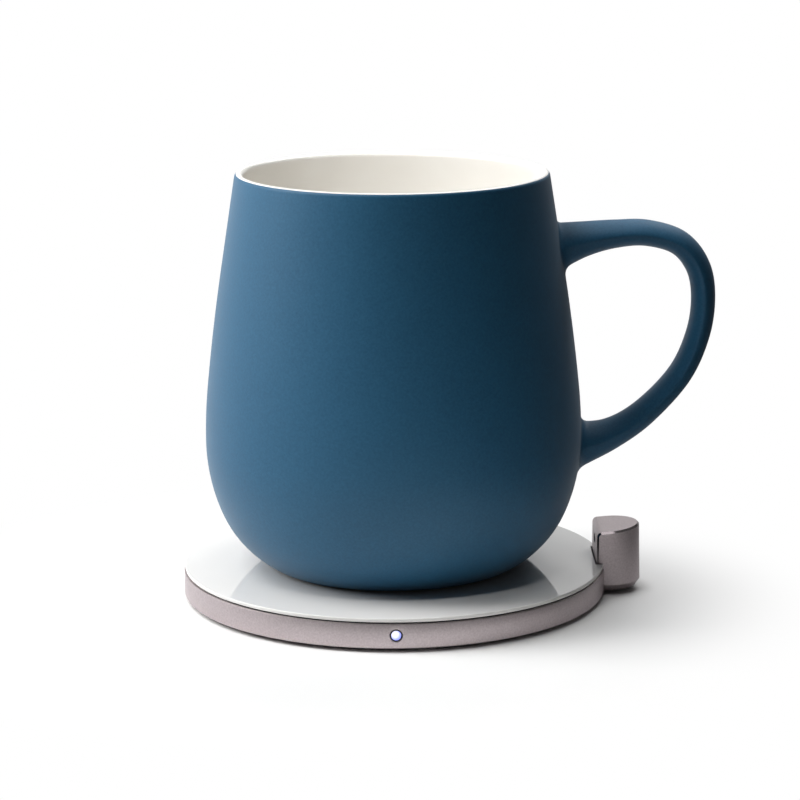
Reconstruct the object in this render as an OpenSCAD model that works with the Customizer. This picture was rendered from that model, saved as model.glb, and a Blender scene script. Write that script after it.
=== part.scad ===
// A self-heating mug on its warming pad.
// The origin is on the pad's axis at the table top. +Z is up, +X points to the mug's handle and
// the sensor post, and -Y to the indicator light. Lengths are in millimetres, angles in degrees.

/* [Pad housing] */
// Diameter of the metal ring round the pad
pad_d = 110; // [108:1:124]
// Height of the metal ring
ring_h = 6.2; // [5.7:0.1:8]
// Thickness of the ring's wall
ring_wall = 2; // [1.6:0.1:2.4]
// Small chamfer along the ring's outer edges
ring_edge = 0.25; // [0.1:0.05:0.5]
// Width of the shelf inside the ring that carries the glass
shelf_w = 2.5; // [2:0.1:3.5]
// Thickness of that shelf
shelf_t = 1; // [0.8:0.1:1.4]
// Thickness of the soft mat that the pad stands on
mat_t = 0.8; // [0.7:0.1:2]
// How far the mat stays inside the ring's outer face
mat_inset = 3.2; // [3:0.1:3.5]
// Thickness of the base plate
plate_t = 1.8; // [1.7:0.1:2.4]
// Thickness of the base plate's lip under the ring
lip_t = 0.3; // [0.25:0.05:0.6]
// How far that lip stays inside the ring's outer face
lip_inset = 1.5; // [1:0.1:1.6]
// Thickness of the glass top
glass_t = 0.9; // [0.7:0.1:2]
// How far the glass stays inside the ring's outer face
glass_inset = 0.2; // [0.1:0.05:0.5]
// Radius of the polished round along the glass's upper edge
glass_edge = 0.25; // [0.1:0.05:0.5]
// Thickness of the dark gasket under the glass
gasket_t = 0.4; // [0.3:0.05:0.8]
// How far the gasket stays inside the ring's outer face
gasket_inset = 0.6; // [0.4:0.05:1]

/* [Pad fasteners] */
// Shank diameter of the countersunk screws under the mat
screw_d = 2; // [1.6:0.1:2.2]
// Head diameter of those screws
screw_head_d = 3.6; // [3:0.1:3.8]
// Height of their cone heads
screw_head_h = 0.9; // [0.7:0.05:1.1]
// Outside diameter of the lugs in the ring that take the screws
lug_d = 4.2; // [3.6:0.1:4.6]
// Distance of the lugs' centres from the ring's outer face
lug_inset = 5.5; // [5.3:0.1:6]
// Width of the web that joins a lug to the ring's wall
lug_web_w = 2.2; // [1.6:0.1:3]
// Height of that web
lug_web_h = 3; // [2:0.1:3.4]
// Metal left between the end of a screw's hole and the shelf's underside
lug_roof = 0.9; // [0.6:0.1:1.2]
// Shank diameter of the small screws that hold the board
board_screw_d = 1.6; // [1.2:0.1:2]
// Head diameter of the small screws
board_screw_head_d = 3; // [2.4:0.1:3.4]
// Head height of the small screws
board_screw_head_h = 0.9; // [0.6:0.1:1.2]

/* [Coil and board] */
// Diameter of the coils' round wire, in the pad and in the mug
wire_d = 1; // [0.8:0.05:1.1]
// Clear gap between neighbouring turns of a coil
turn_gap = 0.6; // [0.45:0.05:0.8]
// Radius of the first turn of a coil, at the middle of its wire
coil_start_r = 10; // [8:0.5:12]
// Turns of the transmitter coil
coil_turns = 11; // [8:1:11]
// Thickness of the ferrite plate under the transmitter coil
ferrite_t = 0.6; // [0.5:0.05:0.8]
// How far the ferrite plate reaches past the coil
ferrite_margin = 1.5; // [1:0.1:2]
// Thickness of the tray's wall round the coil
tray_wall = 1.2; // [1:0.1:1.6]
// Thickness of the tray's floor under the board
tray_floor = 0.6; // [0.5:0.1:1]
// Thickness of the control board
board_t = 0.8; // [0.6:0.1:1]
// Width of the square chips on the board
chip_w = 5; // [3:0.1:6]
// Height of the chips and of the flex lead's socket on the board
chip_h = 1; // [0.8:0.1:1.2]
// Length of the capacitors on the board
capacitor_l = 3.2; // [2:0.1:4]
// Width of the capacitors on the board
capacitor_w = 2.5; // [1.6:0.1:3.2]
// Height of the capacitors on the board
capacitor_h = 1.6; // [1:0.1:2]
// Width of the square choke on the board
choke_w = 7; // [5:0.1:8]
// Height of the choke on the board
choke_h = 2.2; // [1.5:0.1:2.4]

/* [Indicator and inlet] */
// Diameter of the indicator's lens
lens_d = 2.5; // [2:0.1:2.8]
// Wall of the dark collar round the lens
collar_wall = 0.3; // [0.25:0.05:0.4]
// Radius of the shallow dome on the lens's face
lens_dome_r = 8; // [6:0.5:12]
// Height of the light source behind the lens
led_h = 0.8; // [0.6:0.1:1]
// Outside width of the power inlet's shell
inlet_w = 8.94; // [8.4:0.01:9.4]
// Outside height of the power inlet's shell
inlet_h = 3.26; // [3:0.01:3.4]
// Sheet thickness of the inlet's shell
inlet_sheet = 0.3; // [0.2:0.05:0.35]
// Length of the inlet's shell
inlet_l = 9.4; // [9:0.1:10]
// How far the inlet's mouth stays inside the ring's outer face
inlet_inset = 0.6; // [0.5:0.1:1]
// How far the end of the tongue stays inside the inlet's mouth
tongue_inset = 1; // [0.6:0.1:1.4]

/* [Sensor post] */
// Width of the post, which is twice the radius of its round back
post_w = 17; // [15:0.5:20]
// How far the post's flat side stands inside the pad's edge
post_bite = 2.3; // [2:0.1:3]
// Length of the straight sides between the flat and the round back
post_straight = 3.1; // [2.5:0.1:5]
// Distance of the post's middle from the pad's centre line
post_side = 1.4; // [0:0.1:4]
// Height of the post at its flat side, from the ring's lower edge
post_h = 15.7; // [15.5:0.1:20]
// Rise of the post's top towards its back
post_slope = 5; // [0:0.5:7]
// Wall of the post's housing
post_wall = 2; // [1.8:0.1:2.4]
// Round between the post's flat side and its top
post_round = 1.3; // [0.6:0.1:1.5]
// Polished chamfer along the edges of the post's top and of its flat side
post_edge = 0.5; // [0.2:0.05:0.6]
// How far the chamfer along the post's lower edge goes in
post_foot = 1.2; // [0.6:0.1:1.4]
// How far that chamfer goes up
post_foot_h = 1.7; // [0.8:0.1:2.2]
// Width of the sensor's window
window_w = 3.6; // [2.6:0.1:4.4]
// Height of the sensor's window
window_h = 2.1; // [1.6:0.1:2.2]
// Height of the window's middle above the glass
window_rise = 4.65; // [4:0.05:4.7]

/* [Mug body] */
// Height of the mug above the glass
mug_h = 102.2; // [98:0.1:120]
// Largest diameter of the mug, at its belly
belly_d = 97.4; // [94:0.2:106]
// Height of the belly above the glass
belly_z = 33; // [31:0.5:35]
// Radius of the wall's curve just above the belly
shoulder_r = 137; // [120:1:160]
// Angle that this curve turns through
shoulder_turn = 5.8; // [5:0.1:6.5]
// Radius of the slack curve above it
flank_r = 540; // [450:10:600]
// Lean of the straight wall below the rim
wall_lean = 8.95; // [8:0.05:9.5]
// Radius of the wall's curve just below the belly
hip_r = 48.5; // [46:0.5:52]
// Angle that this curve turns through
hip_turn = 22.6; // [18:0.2:26]
// Radius of the curve that draws the mug in to its base
under_r = 28.3; // [27:0.1:30]
// Small round at the edge of the base
base_round = 2.5; // [1.5:0.1:4]
// Thickness of the mug's wall
wall_t = 2.3; // [2:0.1:4]
// Thickness of the ceramic floor over the heater
floor_t = 5; // [3:0.1:6]
// Round between the cup's wall and its floor
cup_round = 12; // [8:0.5:14]

/* [Handle] */
// Height of the handle's upper run above the glass
handle_top = 85.9; // [80:0.1:88]
// Height of the handle's lower root above the glass
handle_low = 30; // [26:0.5:34]
// How far the handle's middle line stands out from the belly
handle_reach = 31.2; // [26:0.2:36]
// Thickness of the handle at its outer bend
handle_t = 6.2; // [5:0.1:8]
// Width of the handle at its outer bend
handle_w = 11; // [9:0.2:14]
// Thickness of the handle where it flares into the wall
root_t = 13; // [11:0.2:15]
// Width of the handle where it flares into the wall
root_w = 14; // [12:0.2:18]

/* [Mug base] */
// Width of the ceramic rim round the heater's recess
base_rim = 5; // [4:0.1:6]
// Gap between the ceramic base and the glass
foot_gap = 0.4; // [0.3:0.05:1]
// Thickness of the cover that closes the recess
cover_t = 1.8; // [1.5:0.1:2.4]
// Width of the soft ring that the mug stands on
seal_w = 3; // [2:0.1:4]
// Depth of the groove in the cover that holds the ring
seal_groove = 0.8; // [0.5:0.05:1]
// Distance of the soft ring from the cover's edge
seal_margin = 1; // [0.8:0.1:2]
// Turns of the receiver coil
receiver_turns = 8; // [6:1:8]
// Thickness of the ferrite disc over the receiver coil
shield_t = 0.6; // [0.5:0.05:1]
// Thickness of the insulation disc
insulation_t = 3.4; // [2.8:0.1:4]
// Thickness of the heating plate under the cup's floor
heater_t = 0.8; // [0.6:0.1:1.2]
// Height of the thermal cut-out in the insulation
cutout_h = 1.8; // [1.2:0.1:2.2]

/* [Hidden] */
$fn = 96;

// Fineness of the mug's turned shape, and how far the chords of its arcs stand off the true curve
turned_fn = 256;
chord_gap = 0.01;
// Fineness of wires and small edge rounds
small_fn = 24;
// Clearance between pieces that fit into each other
fit = 0.1;
// Clearance round pieces that pass through a wall or a board
pass = 0.3;
// Overlap that makes a cut run cleanly through a face
over = 1;

// Heights of the pad's layers above the table
pad_r = pad_d / 2;
z_ring = mat_t + lip_t;
z_inside = mat_t + plate_t;
z_rim = z_ring + ring_h;
z_glass = z_rim + gasket_t;
z_top = z_glass + glass_t;
z_board = z_inside + tray_floor;
z_parts = z_board + board_t;
z_seat = z_parts + wire_d + fit;
z_coil = z_seat + ferrite_t + fit + wire_d / 2;

// Plan sizes inside the pad
ring_in_r = pad_r - ring_wall;
shelf_in_r = ring_in_r - shelf_w;
plate_r = ring_in_r - pass;
lug_r = pad_r - lug_inset;
lug_angles = [45, 135, 225, 315];
turn_pitch = wire_d + turn_gap;
coil_end_r = coil_start_r + coil_turns * turn_pitch;
ferrite_r = coil_end_r + wire_d / 2 + ferrite_margin;
cup_r = ferrite_r + fit;
tray_r = cup_r + tray_wall;
board_in_r = tray_r + pass;
board_out_r = lug_r - lug_d / 2 - pass;
board_mid_r = (board_in_r + board_out_r) / 2;
board_screw_angles = [60, 180, 300];
chip_angles = [120, 150, 210];
capacitor_angles = [28, 36, 44, 320, 328, 336];
choke_angle = 240;
tray_rim = z_coil + wire_d / 2;
lead_bend = (z_coil - z_parts - wire_d / 2) / 2;

// Places of the indicator and the inlet
lens_z = z_parts + led_h / 2;
led_l = 1.6;
led_w = 2.6;
inlet_z = z_inside + fit + inlet_h / 2;
inlet_start = pad_r - inlet_inset - inlet_l;
tongue_l = 5.5;
tongue_w = 6.7;
tongue_t = 0.7;
wing_w = 1.6;
wing_l = 1.2;

// Places in the sensor post
post_r = post_w / 2;
post_x = pad_r - post_bite;
post_mid_x = post_x + post_straight;
post_corner_z = z_ring + post_h;
post_mid_z = post_corner_z + post_straight * tan(post_slope);
post_screw_inset = 2.7;
post_screw_x = post_x - post_screw_inset;
post_screw_step = 3.4;
foot_w = 12;
foot_l = post_x - board_out_r - pass;
foot_t = z_parts - z_inside;
window_z = z_top + window_rise;
window_flange = 0.5;
flange_margin = 0.6;
sensor_chip_t = 0.9;
sensor_chip_w = 2.6;
sensor_board_t = 0.8;
sensor_board_w = 7;
flex_w = 4;
flex_t = 0.15;
flex_z = z_parts + chip_h / 2;
socket_l = 3;
socket_w = 6;
socket_inset = 2;
socket_x = board_out_r - socket_inset - socket_l;
sensor_chip_x = post_x + post_wall + window_flange;
sensor_board_x = sensor_chip_x + sensor_chip_t;

// Centres and joints of the arcs in the mug's wall, as [radius, height] above the glass
function arc_point(centre, r, a) = centre + r * [cos(a), sin(a)];
belly_r = belly_d / 2;
shoulder_c = [belly_r - shoulder_r, belly_z];
flank_c = arc_point(shoulder_c, shoulder_r - flank_r, shoulder_turn);
hip_c = [belly_r - hip_r, belly_z];
under_c = arc_point(hip_c, hip_r - under_r, -hip_turn);
under_turn = asin((under_c.y - base_round - foot_gap) / (under_r - base_round));
base_c = arc_point(under_c, under_r - base_round, -under_turn);
wall_foot = arc_point(flank_c, flank_r - wall_t / 2, wall_lean);
lip_c = wall_foot
    + (mug_h - wall_t / 2 - wall_foot.y) / cos(wall_lean) * [-sin(wall_lean), cos(wall_lean)];

// Layers in the mug's base, above the glass
z_cover = foot_gap + cover_t;
z_receiver = z_cover + fit + wire_d / 2;
z_shield = z_receiver + wire_d / 2 + fit;
z_insulation = z_shield + shield_t;
z_heater = z_insulation + insulation_t;
z_recess = z_heater + heater_t;
z_cup = z_recess + floor_t;
cup_turn = asin((hip_c.y - cup_round - z_cup) / (hip_r - wall_t - cup_round));
cup_c = arc_point(hip_c, hip_r - wall_t - cup_round, -cup_turn);
recess_r = base_c.x - base_rim;
disc_r = recess_r - pass;
receiver_end_r = coil_start_r + receiver_turns * turn_pitch;
receiver_bend = wire_d;
cutout_x = -18;
cutout_l = 8;
cutout_w = 5;

// Radius of the mug's outer face at a height above the glass
function wall_r(z) =
    z > arc_point(flank_c, flank_r, wall_lean).y
        ? arc_point(flank_c, flank_r, wall_lean).x
            - (z - arc_point(flank_c, flank_r, wall_lean).y) * tan(wall_lean)
    : z > arc_point(flank_c, flank_r, shoulder_turn).y ? arc_r(flank_c, flank_r, z)
    : z > belly_z ? arc_r(shoulder_c, shoulder_r, z)
    : z > arc_point(hip_c, hip_r, -hip_turn).y ? arc_r(hip_c, hip_r, z)
    : arc_r(under_c, under_r, z);
function arc_r(centre, r, z) = centre.x + sqrt(r * r - pow(z - centre.y, 2));

// Stations along the handle's middle line, from the upper root to the lower one. Each gives how far
// out it is (1 is the full reach), how high (0 the lower root, 1 the upper run) and how much of the
// root's flare it has. The first and last lie inside the mug's wall, and the wall trims them.
root_depth = 2.5;
upper_root_up = 0.945;
function root_out(up) =
    (wall_r(handle_low + up * (handle_top - handle_low)) - root_depth - belly_r) / handle_reach;
handle_stations = [
    [root_out(upper_root_up), upper_root_up, 1.15],
    [0.01, 0.974, 0.44],
    [0.27, 0.997, 0.15],
    [0.53, 1, 0.07],
    [0.795, 0.953, 0.04],
    [0.954, 0.841, 0.02],
    [1, 0.693, 0],
    [0.957, 0.519, 0],
    [0.811, 0.335, 0.02],
    [0.522, 0.158, 0.1],
    [0.24, 0.056, 0.31],
    [root_out(0), 0, 0.95]
];
// Rings between two stations, sides of a ring, and how far its sides draw in to a soft ridge
handle_steps = 5;
handle_sides = 20;
handle_ridge = 0.3;

// A smooth curve through the stations, at whole and part steps
last_station = len(handle_stations) - 1;
function station(i) =
    i < 0 ? 2 * handle_stations[0] - handle_stations[1]
    : i > last_station ? 2 * handle_stations[last_station] - handle_stations[last_station - 1]
    : handle_stations[i];
function along(i, t) =
    (2 * station(i)
        + (station(i + 1) - station(i - 1)) * t
        + (2 * station(i - 1) - 5 * station(i) + 4 * station(i + 1) - station(i + 2)) * t * t
        + (3 * station(i) - station(i - 1) - 3 * station(i + 1) + station(i + 2)) * t * t * t) / 2;
handle_path = [
    for (i = [0 : last_station - 1], k = [0 : handle_steps - 1]) along(i, k / handle_steps),
    handle_stations[last_station]
];
last_ring = len(handle_path) - 1;
function handle_centre(i) = [
    belly_r + handle_path[i][0] * handle_reach,
    handle_low + handle_path[i][1] * (handle_top - handle_low)
];
function handle_normal(i) =
    let (d = handle_centre(min(i + 1, last_ring)) - handle_centre(max(i - 1, 0)))
    [-d.y, d.x] / norm(d);
function flared(i, slim, full) = slim + handle_path[i][2] * (full - slim);
function handle_point(i, a) =
    let (
        rise = sign(sin(a)) * pow(abs(sin(a)), 1 + handle_ridge) * flared(i, handle_t, root_t) / 2,
        p = handle_centre(i) + rise * handle_normal(i)
    )
    [p.x, cos(a) * flared(i, handle_w, root_w) / 2, p.y];

// A flat slot shape with round ends
module slot(w, h) {
    square([w - h, h], center = true);
    for (side = [-1, 1])
        translate([side * (w - h) / 2, 0])
            circle(d = h);
}

// A disc from one height to another
module disc(r, z0, z1) {
    translate([0, 0, z0])
        cylinder(r = r, h = z1 - z0);
}

// A flat coil of half turns, each a little wider than the last, on centres that change sides.
// It starts on the X axis at the first radius and ends there, facing +Y.
module spiral(turns) {
    for (i = [0 : 2 * turns - 1])
        translate([i % 2 * turn_pitch / 2, 0, 0])
            rotate([0, 0, i % 2 * 180])
                rotate_extrude(angle = 180)
                    translate([coil_start_r + i * turn_pitch / 2, 0])
                        circle(d = wire_d, $fn = small_fn);
}

// A straight piece of the coils' wire along Y
module straight_wire(l) {
    rotate([-90, 0, 0])
        cylinder(d = wire_d, h = l, $fn = small_fn);
}

// A quarter bend of the coils' wire, from the -Y direction up to +Z, starting at the origin
module wire_bend(r) {
    translate([0, 0, r])
        rotate([0, 90, 0])
            rotate([0, 0, -90])
                rotate_extrude(angle = 90)
                    translate([r, 0])
                        circle(d = wire_d, $fn = small_fn);
}

// A countersunk screw that points up from the base plate's lower face
module countersunk(l, play = 0) {
    cylinder(d1 = screw_head_d + 2 * play, d2 = screw_d + 2 * play, h = screw_head_h);
    cylinder(d = screw_d + 2 * play, h = l);
}

module at_angles(r, angles) {
    for (a = angles)
        rotate([0, 0, a])
            translate([r, 0, 0])
                children();
}

module at_post_screws() {
    for (side = [-1, 1])
        translate([post_screw_x, post_side + side * post_screw_step, mat_t])
            children();
}

// Outline of the post seen from above, grown or shrunk by an amount
module post_plan(grow) {
    translate([post_x - grow, post_side - post_r - grow])
        square([post_straight + grow, 2 * (post_r + grow)]);
    intersection() {
        translate([post_mid_x, post_side])
            circle(r = post_r + grow);
        translate([post_mid_x, post_side - post_w])
            square(2 * post_w);
    }
}

// Room that the post takes from the ring, the gasket, the glass and the base plate
module post_room() {
    translate([0, 0, z_ring])
        linear_extrude(post_h)
            post_plan(pass);
}

module foot_mat() {
    color("#1b1b1d")
        disc(pad_r - mat_inset, 0, mat_t);
}

// Screws under the mat: those into the ring and those into the post's foot
base_screw_l = z_rim - shelf_t - lug_roof - fit - mat_t;
post_screw_l = foot_t + plate_t - fit;

module base_plate() {
    color("#242427")
        difference() {
            union() {
                disc(pad_r - lip_inset, mat_t, z_ring);
                difference() {
                    disc(plate_r, z_ring, z_inside);
                    post_room();
                }
            }
            translate([0, 0, mat_t])
                at_angles(lug_r, lug_angles)
                    countersunk(plate_t + over, fit);
            at_post_screws()
                countersunk(plate_t + over, fit);
            at_angles(board_mid_r, board_screw_angles)
                disc(board_screw_d / 2 + fit / 2, z_ring, z_inside + over);
        }
}

module base_screws() {
    color("#8e9093")
        translate([0, 0, mat_t])
            at_angles(lug_r, lug_angles)
                countersunk(base_screw_l);
}

module rim_ring() {
    color("#b4a9ac")
        difference() {
            union() {
                rotate_extrude()
                    polygon([
                        [ring_in_r, z_ring],
                        [pad_r - ring_edge, z_ring],
                        [pad_r, z_ring + ring_edge],
                        [pad_r, z_rim - ring_edge],
                        [pad_r - ring_edge, z_rim],
                        [shelf_in_r, z_rim],
                        [shelf_in_r, z_rim - shelf_t],
                        [ring_in_r, z_rim - shelf_t]
                    ]);
                at_angles(lug_r, lug_angles) {
                    disc(lug_d / 2, z_inside, z_rim - shelf_t / 2);
                    translate([0, -lug_web_w / 2, z_inside])
                        cube([lug_inset - ring_wall / 2, lug_web_w, lug_web_h]);
                }
            }
            at_angles(lug_r, lug_angles)
                disc(screw_d / 2 + fit / 2, z_inside - over, mat_t + base_screw_l + fit);
            post_room();
            translate([0, -ring_in_r + over, lens_z])
                rotate([90, 0, 0])
                    cylinder(d = lens_d + 2 * collar_wall + 2 * fit, h = ring_wall + 2 * over);
            translate([0, shelf_in_r - over, inlet_z])
                rotate([-90, 0, 0])
                    linear_extrude(pad_r)
                        slot(inlet_w + 2 * fit, inlet_h + 2 * fit);
        }
}

module glass_gasket() {
    color("#2b2a2c")
        difference() {
            disc(pad_r - gasket_inset, z_rim, z_glass);
            disc(shelf_in_r, z_rim - over, z_glass + over);
            post_room();
        }
}

module glass_top() {
    glass_r = pad_r - glass_inset;
    color("#eff1f0")
        difference() {
            translate([0, 0, z_glass])
                rotate_extrude() {
                    square([glass_r - glass_edge, glass_t]);
                    square([glass_r, glass_t - glass_edge]);
                    translate([glass_r - glass_edge, glass_t - glass_edge])
                        circle(r = glass_edge, $fn = small_fn);
                }
            post_room();
        }
}

// Notch in the board and the tray for the inlet, and room for the coil's two leads
module inlet_notch() {
    translate([-inlet_w / 2 - pass, inlet_start - pass, z_inside - over])
        cube([inlet_w + 2 * pass, pad_r, inlet_h + 2 * over]);
}

module coil_tray() {
    color("#d9d8d4")
        difference() {
            union() {
                disc(board_out_r, z_inside, z_board);
                disc(tray_r, z_inside, tray_rim);
            }
            disc(cup_r, z_seat, tray_rim + over);
            translate([coil_start_r - wire_d / 2 - fit, -board_in_r, z_parts])
                cube([wire_d + 2 * fit, board_in_r, wire_d + fit + over]);
            translate([coil_end_r - wire_d / 2 - fit, 0, z_coil - wire_d / 2 - fit])
                cube([wire_d + 2 * fit, tray_r, wire_d + fit + over]);
            at_angles(board_mid_r, board_screw_angles)
                disc(board_screw_d / 2 + fit, z_inside - over, z_board + over);
            inlet_notch();
        }
}

module ferrite_plate() {
    color("#3a3a3c")
        difference() {
            disc(ferrite_r, z_seat, z_seat + ferrite_t);
            translate([coil_start_r - wire_d / 2 - pass, -2 * lead_bend - wire_d, z_seat - over])
                cube([wire_d + 2 * pass, 2 * lead_bend + wire_d, ferrite_t + 2 * over]);
        }
}

// Length of the coil's outer end, which runs straight on over the tray's wall to the board
outer_lead_l = sqrt(pow(board_in_r + 2 * wire_d, 2) - pow(coil_end_r, 2));

module transmitter_coil() {
    color("#b8682f")
        translate([0, 0, z_coil]) {
            spiral(coil_turns);
            translate([coil_end_r, 0, 0])
                straight_wire(outer_lead_l);
        }
}

// The coil's inner end dips through the ferrite and runs under it to the board
module coil_lead() {
    color("#b8682f")
        translate([coil_start_r, 0, z_coil]) {
            mirror([0, 0, 1])
                wire_bend(lead_bend);
            translate([0, -2 * lead_bend, -2 * lead_bend])
                mirror([0, 1, 0])
                    wire_bend(lead_bend);
            translate([0, -2 * lead_bend, -2 * lead_bend])
                mirror([0, 1, 0])
                    straight_wire(board_in_r + wire_d - 2 * lead_bend);
        }
}

module control_board() {
    color("#1f5b3a")
        difference() {
            disc(board_out_r, z_board, z_parts);
            disc(board_in_r, z_board - over, z_parts + over);
            at_angles(board_mid_r, board_screw_angles)
                disc(board_screw_d / 2 + fit, z_board - over, z_parts + over);
            inlet_notch();
        }
}

// A block that stands on the board
module on_board(l, w, h) {
    translate([-l / 2, -w / 2, z_parts])
        cube([l, w, h]);
}

module board_chips() {
    color("#222225")
        at_angles(board_mid_r, chip_angles)
            on_board(chip_w, chip_w, chip_h);
}

module board_capacitors() {
    color("#a08a63")
        at_angles(board_mid_r, capacitor_angles)
            on_board(capacitor_l, capacitor_w, capacitor_h);
}

module board_choke() {
    color("#55565a")
        at_angles(board_mid_r, [choke_angle])
            on_board(choke_w, choke_w, choke_h);
}

module board_screws() {
    tip = z_ring + fit;
    color("#8e9093")
        at_angles(board_mid_r, board_screw_angles) {
            disc(board_screw_d / 2, tip, z_parts);
            disc(board_screw_head_d / 2, z_parts, z_parts + board_screw_head_h);
        }
}

module indicator_led() {
    color("#f4f4ee")
        translate([-led_w / 2, -board_out_r + pass, z_parts])
            cube([led_w, led_l, led_h]);
}

// The lens runs from the light source to the ring's face, where it is a shallow dome
module indicator_lens() {
    lens_l = pad_r - board_out_r;
    color("#c8d0ff")
        translate([0, -board_out_r, lens_z])
            rotate([90, 0, 0])
                intersection() {
                    cylinder(d = lens_d - fit, h = lens_l);
                    translate([0, 0, lens_l - lens_dome_r])
                        sphere(r = lens_dome_r);
                }
}

module lens_collar() {
    color("#1d1c20")
        translate([0, -ring_in_r, lens_z])
            rotate([90, 0, 0])
                difference() {
                    cylinder(d = lens_d + 2 * collar_wall, h = ring_wall);
                    translate([0, 0, -over])
                        cylinder(d = lens_d, h = ring_wall + 2 * over);
                }
}

module inlet_shell() {
    color("#c3c5c8")
        union() {
            translate([0, inlet_start, inlet_z])
                rotate([-90, 0, 0])
                    linear_extrude(inlet_l)
                        difference() {
                            slot(inlet_w, inlet_h);
                            slot(inlet_w - 2 * inlet_sheet, inlet_h - 2 * inlet_sheet);
                        }
            for (side = [0, 1])
                mirror([side, 0, 0])
                    translate([inlet_w / 2 - fit, inlet_start, z_parts])
                        cube([wing_w, wing_l, inlet_sheet]);
        }
}

module inlet_tongue() {
    core = inlet_sheet + fit / 2;
    block_l = inlet_l - tongue_l - tongue_inset;
    color("#1d1d20")
        translate([0, inlet_start, inlet_z]) {
            rotate([-90, 0, 0])
                linear_extrude(block_l)
                    slot(inlet_w - 2 * core, inlet_h - 2 * core);
            translate([-tongue_w / 2, 0, -tongue_t / 2])
                cube([tongue_w, block_l + tongue_l, tongue_t]);
        }
}

// The post's column: a round back and straight sides, with a chamfer along the lower edge
module post_column() {
    tall = post_h + post_w;
    translate([post_mid_x, post_side, z_ring])
        rotate_extrude()
            polygon([
                [0, 0], [post_r - post_foot, 0], [post_r, post_foot_h], [post_r, tall], [0, tall]
            ]);
    translate([post_x, post_side, z_ring])
        rotate([90, 0, 90])
            linear_extrude(post_straight)
                polygon([
                    [post_foot - post_r, 0], [post_r - post_foot, 0], [post_r, post_foot_h],
                    [post_r, tall], [-post_r, tall], [-post_r, post_foot_h]
                ]);
}

// The post seen from the front: a flat side, a round, and a top that rises to the back
module post_side_view() {
    run = post_straight + post_r + over;
    reach = post_round / tan(45 + post_slope / 2);
    corner = [post_x, post_corner_z];
    on_flat = corner - [0, reach];
    on_top = corner + reach * [cos(post_slope), sin(post_slope)];
    middle = on_flat + [post_round, 0];
    polygon([
        [post_x, z_ring], [post_x + run, z_ring],
        [post_x + run, post_corner_z + run * tan(post_slope)], on_top, middle, on_flat
    ]);
    intersection() {
        translate(middle)
            circle(r = post_round);
        polygon([middle, on_top, corner, on_flat]);
    }
}

// A blunt wedge, level with the sloping top, whose flanks cut the polished chamfer
module post_top_cut() {
    deep = 2 * post_h;
    small = post_r - post_edge;
    translate([post_mid_x, post_side, post_mid_z])
        rotate([0, -post_slope, 0]) {
            translate([0, 0, -deep])
                cylinder(r1 = small + deep, r2 = small, h = deep);
            translate([-post_w, 0, 0])
                rotate([90, 0, 90])
                    linear_extrude(post_w)
                        polygon([[-small - deep, -deep], [small + deep, -deep], [small, 0], [-small, 0]]);
        }
}

// The same for the flat side, whose flanks cut the chamfer along its two upright edges
module post_flat_cut() {
    deep = 2 * post_w;
    small = post_r - post_edge;
    translate([post_x, post_side, z_ring])
        linear_extrude(post_h + post_w)
            polygon([[0, -small], [deep, -small - deep], [deep, small + deep], [0, small]]);
}

cavity_top = window_z + window_h / 2 + flange_margin + pass;

module post_housing() {
    color("#a29b9b")
        difference() {
            union() {
                intersection() {
                    post_column();
                    translate([0, post_side, 0])
                        rotate([90, 0, 0])
                            linear_extrude(2 * post_w, center = true)
                                post_side_view();
                    post_top_cut();
                    post_flat_cut();
                }
                translate([post_x - foot_l, post_side - foot_w / 2, z_inside])
                    cube([foot_l + post_wall / 2, foot_w, foot_t]);
            }
            translate([0, 0, z_ring - over])
                linear_extrude(cavity_top - z_ring + over)
                    post_plan(-post_wall);
            translate([post_x - over, post_side, window_z])
                rotate([90, 0, 90])
                    linear_extrude(post_wall + 2 * over)
                        slot(window_w, window_h);
            translate([post_x - over, post_side - flex_w / 2 - pass, z_parts])
                cube([post_wall + 2 * over, flex_w + 2 * pass, chip_h]);
            at_post_screws()
                cylinder(d = screw_d + fit, h = plate_t + foot_t + over);
        }
}

module post_cover() {
    color("#242427")
        translate([0, 0, z_ring])
            linear_extrude(z_inside - z_ring)
                post_plan(-post_wall - fit);
}

module post_screws() {
    color("#8e9093")
        at_post_screws()
            countersunk(post_screw_l);
}

module sensor_window() {
    color("#141216")
        translate([post_x + fit, post_side, window_z])
            rotate([90, 0, 90]) {
                linear_extrude(post_wall - fit)
                    slot(window_w - fit, window_h - fit);
                translate([0, 0, post_wall - fit])
                    linear_extrude(window_flange)
                        slot(window_w + 2 * flange_margin, window_h + 2 * flange_margin);
            }
}

module sensor_chip() {
    color("#39343c")
        translate([sensor_chip_x, post_side - sensor_chip_w / 2, window_z - window_h / 2])
            cube([sensor_chip_t, sensor_chip_w, window_h]);
}

module sensor_board() {
    color("#1f5b3a")
        translate([sensor_board_x, post_side - sensor_board_w / 2, z_inside])
            cube([sensor_board_t, sensor_board_w, window_z + window_h / 2 - z_inside]);
}

module sensor_flex() {
    start_x = socket_x + socket_l;
    color("#b58a3c")
        translate([start_x, post_side - flex_w / 2, flex_z])
            cube([sensor_board_x - start_x, flex_w, flex_t]);
}

module flex_socket() {
    color("#e3dfd2")
        translate([socket_x, post_side - socket_w / 2, z_parts])
            cube([socket_l, socket_w, chip_h]);
}

// Points along an arc, without its first one, where the line before it ends
function arc(centre, r, from, to) =
    let (steps = ceil(abs(to - from) / (2 * acos(1 - chord_gap / r))))
    [for (i = [1 : steps]) arc_point(centre, r, from + (to - from) * i / steps)];

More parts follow.
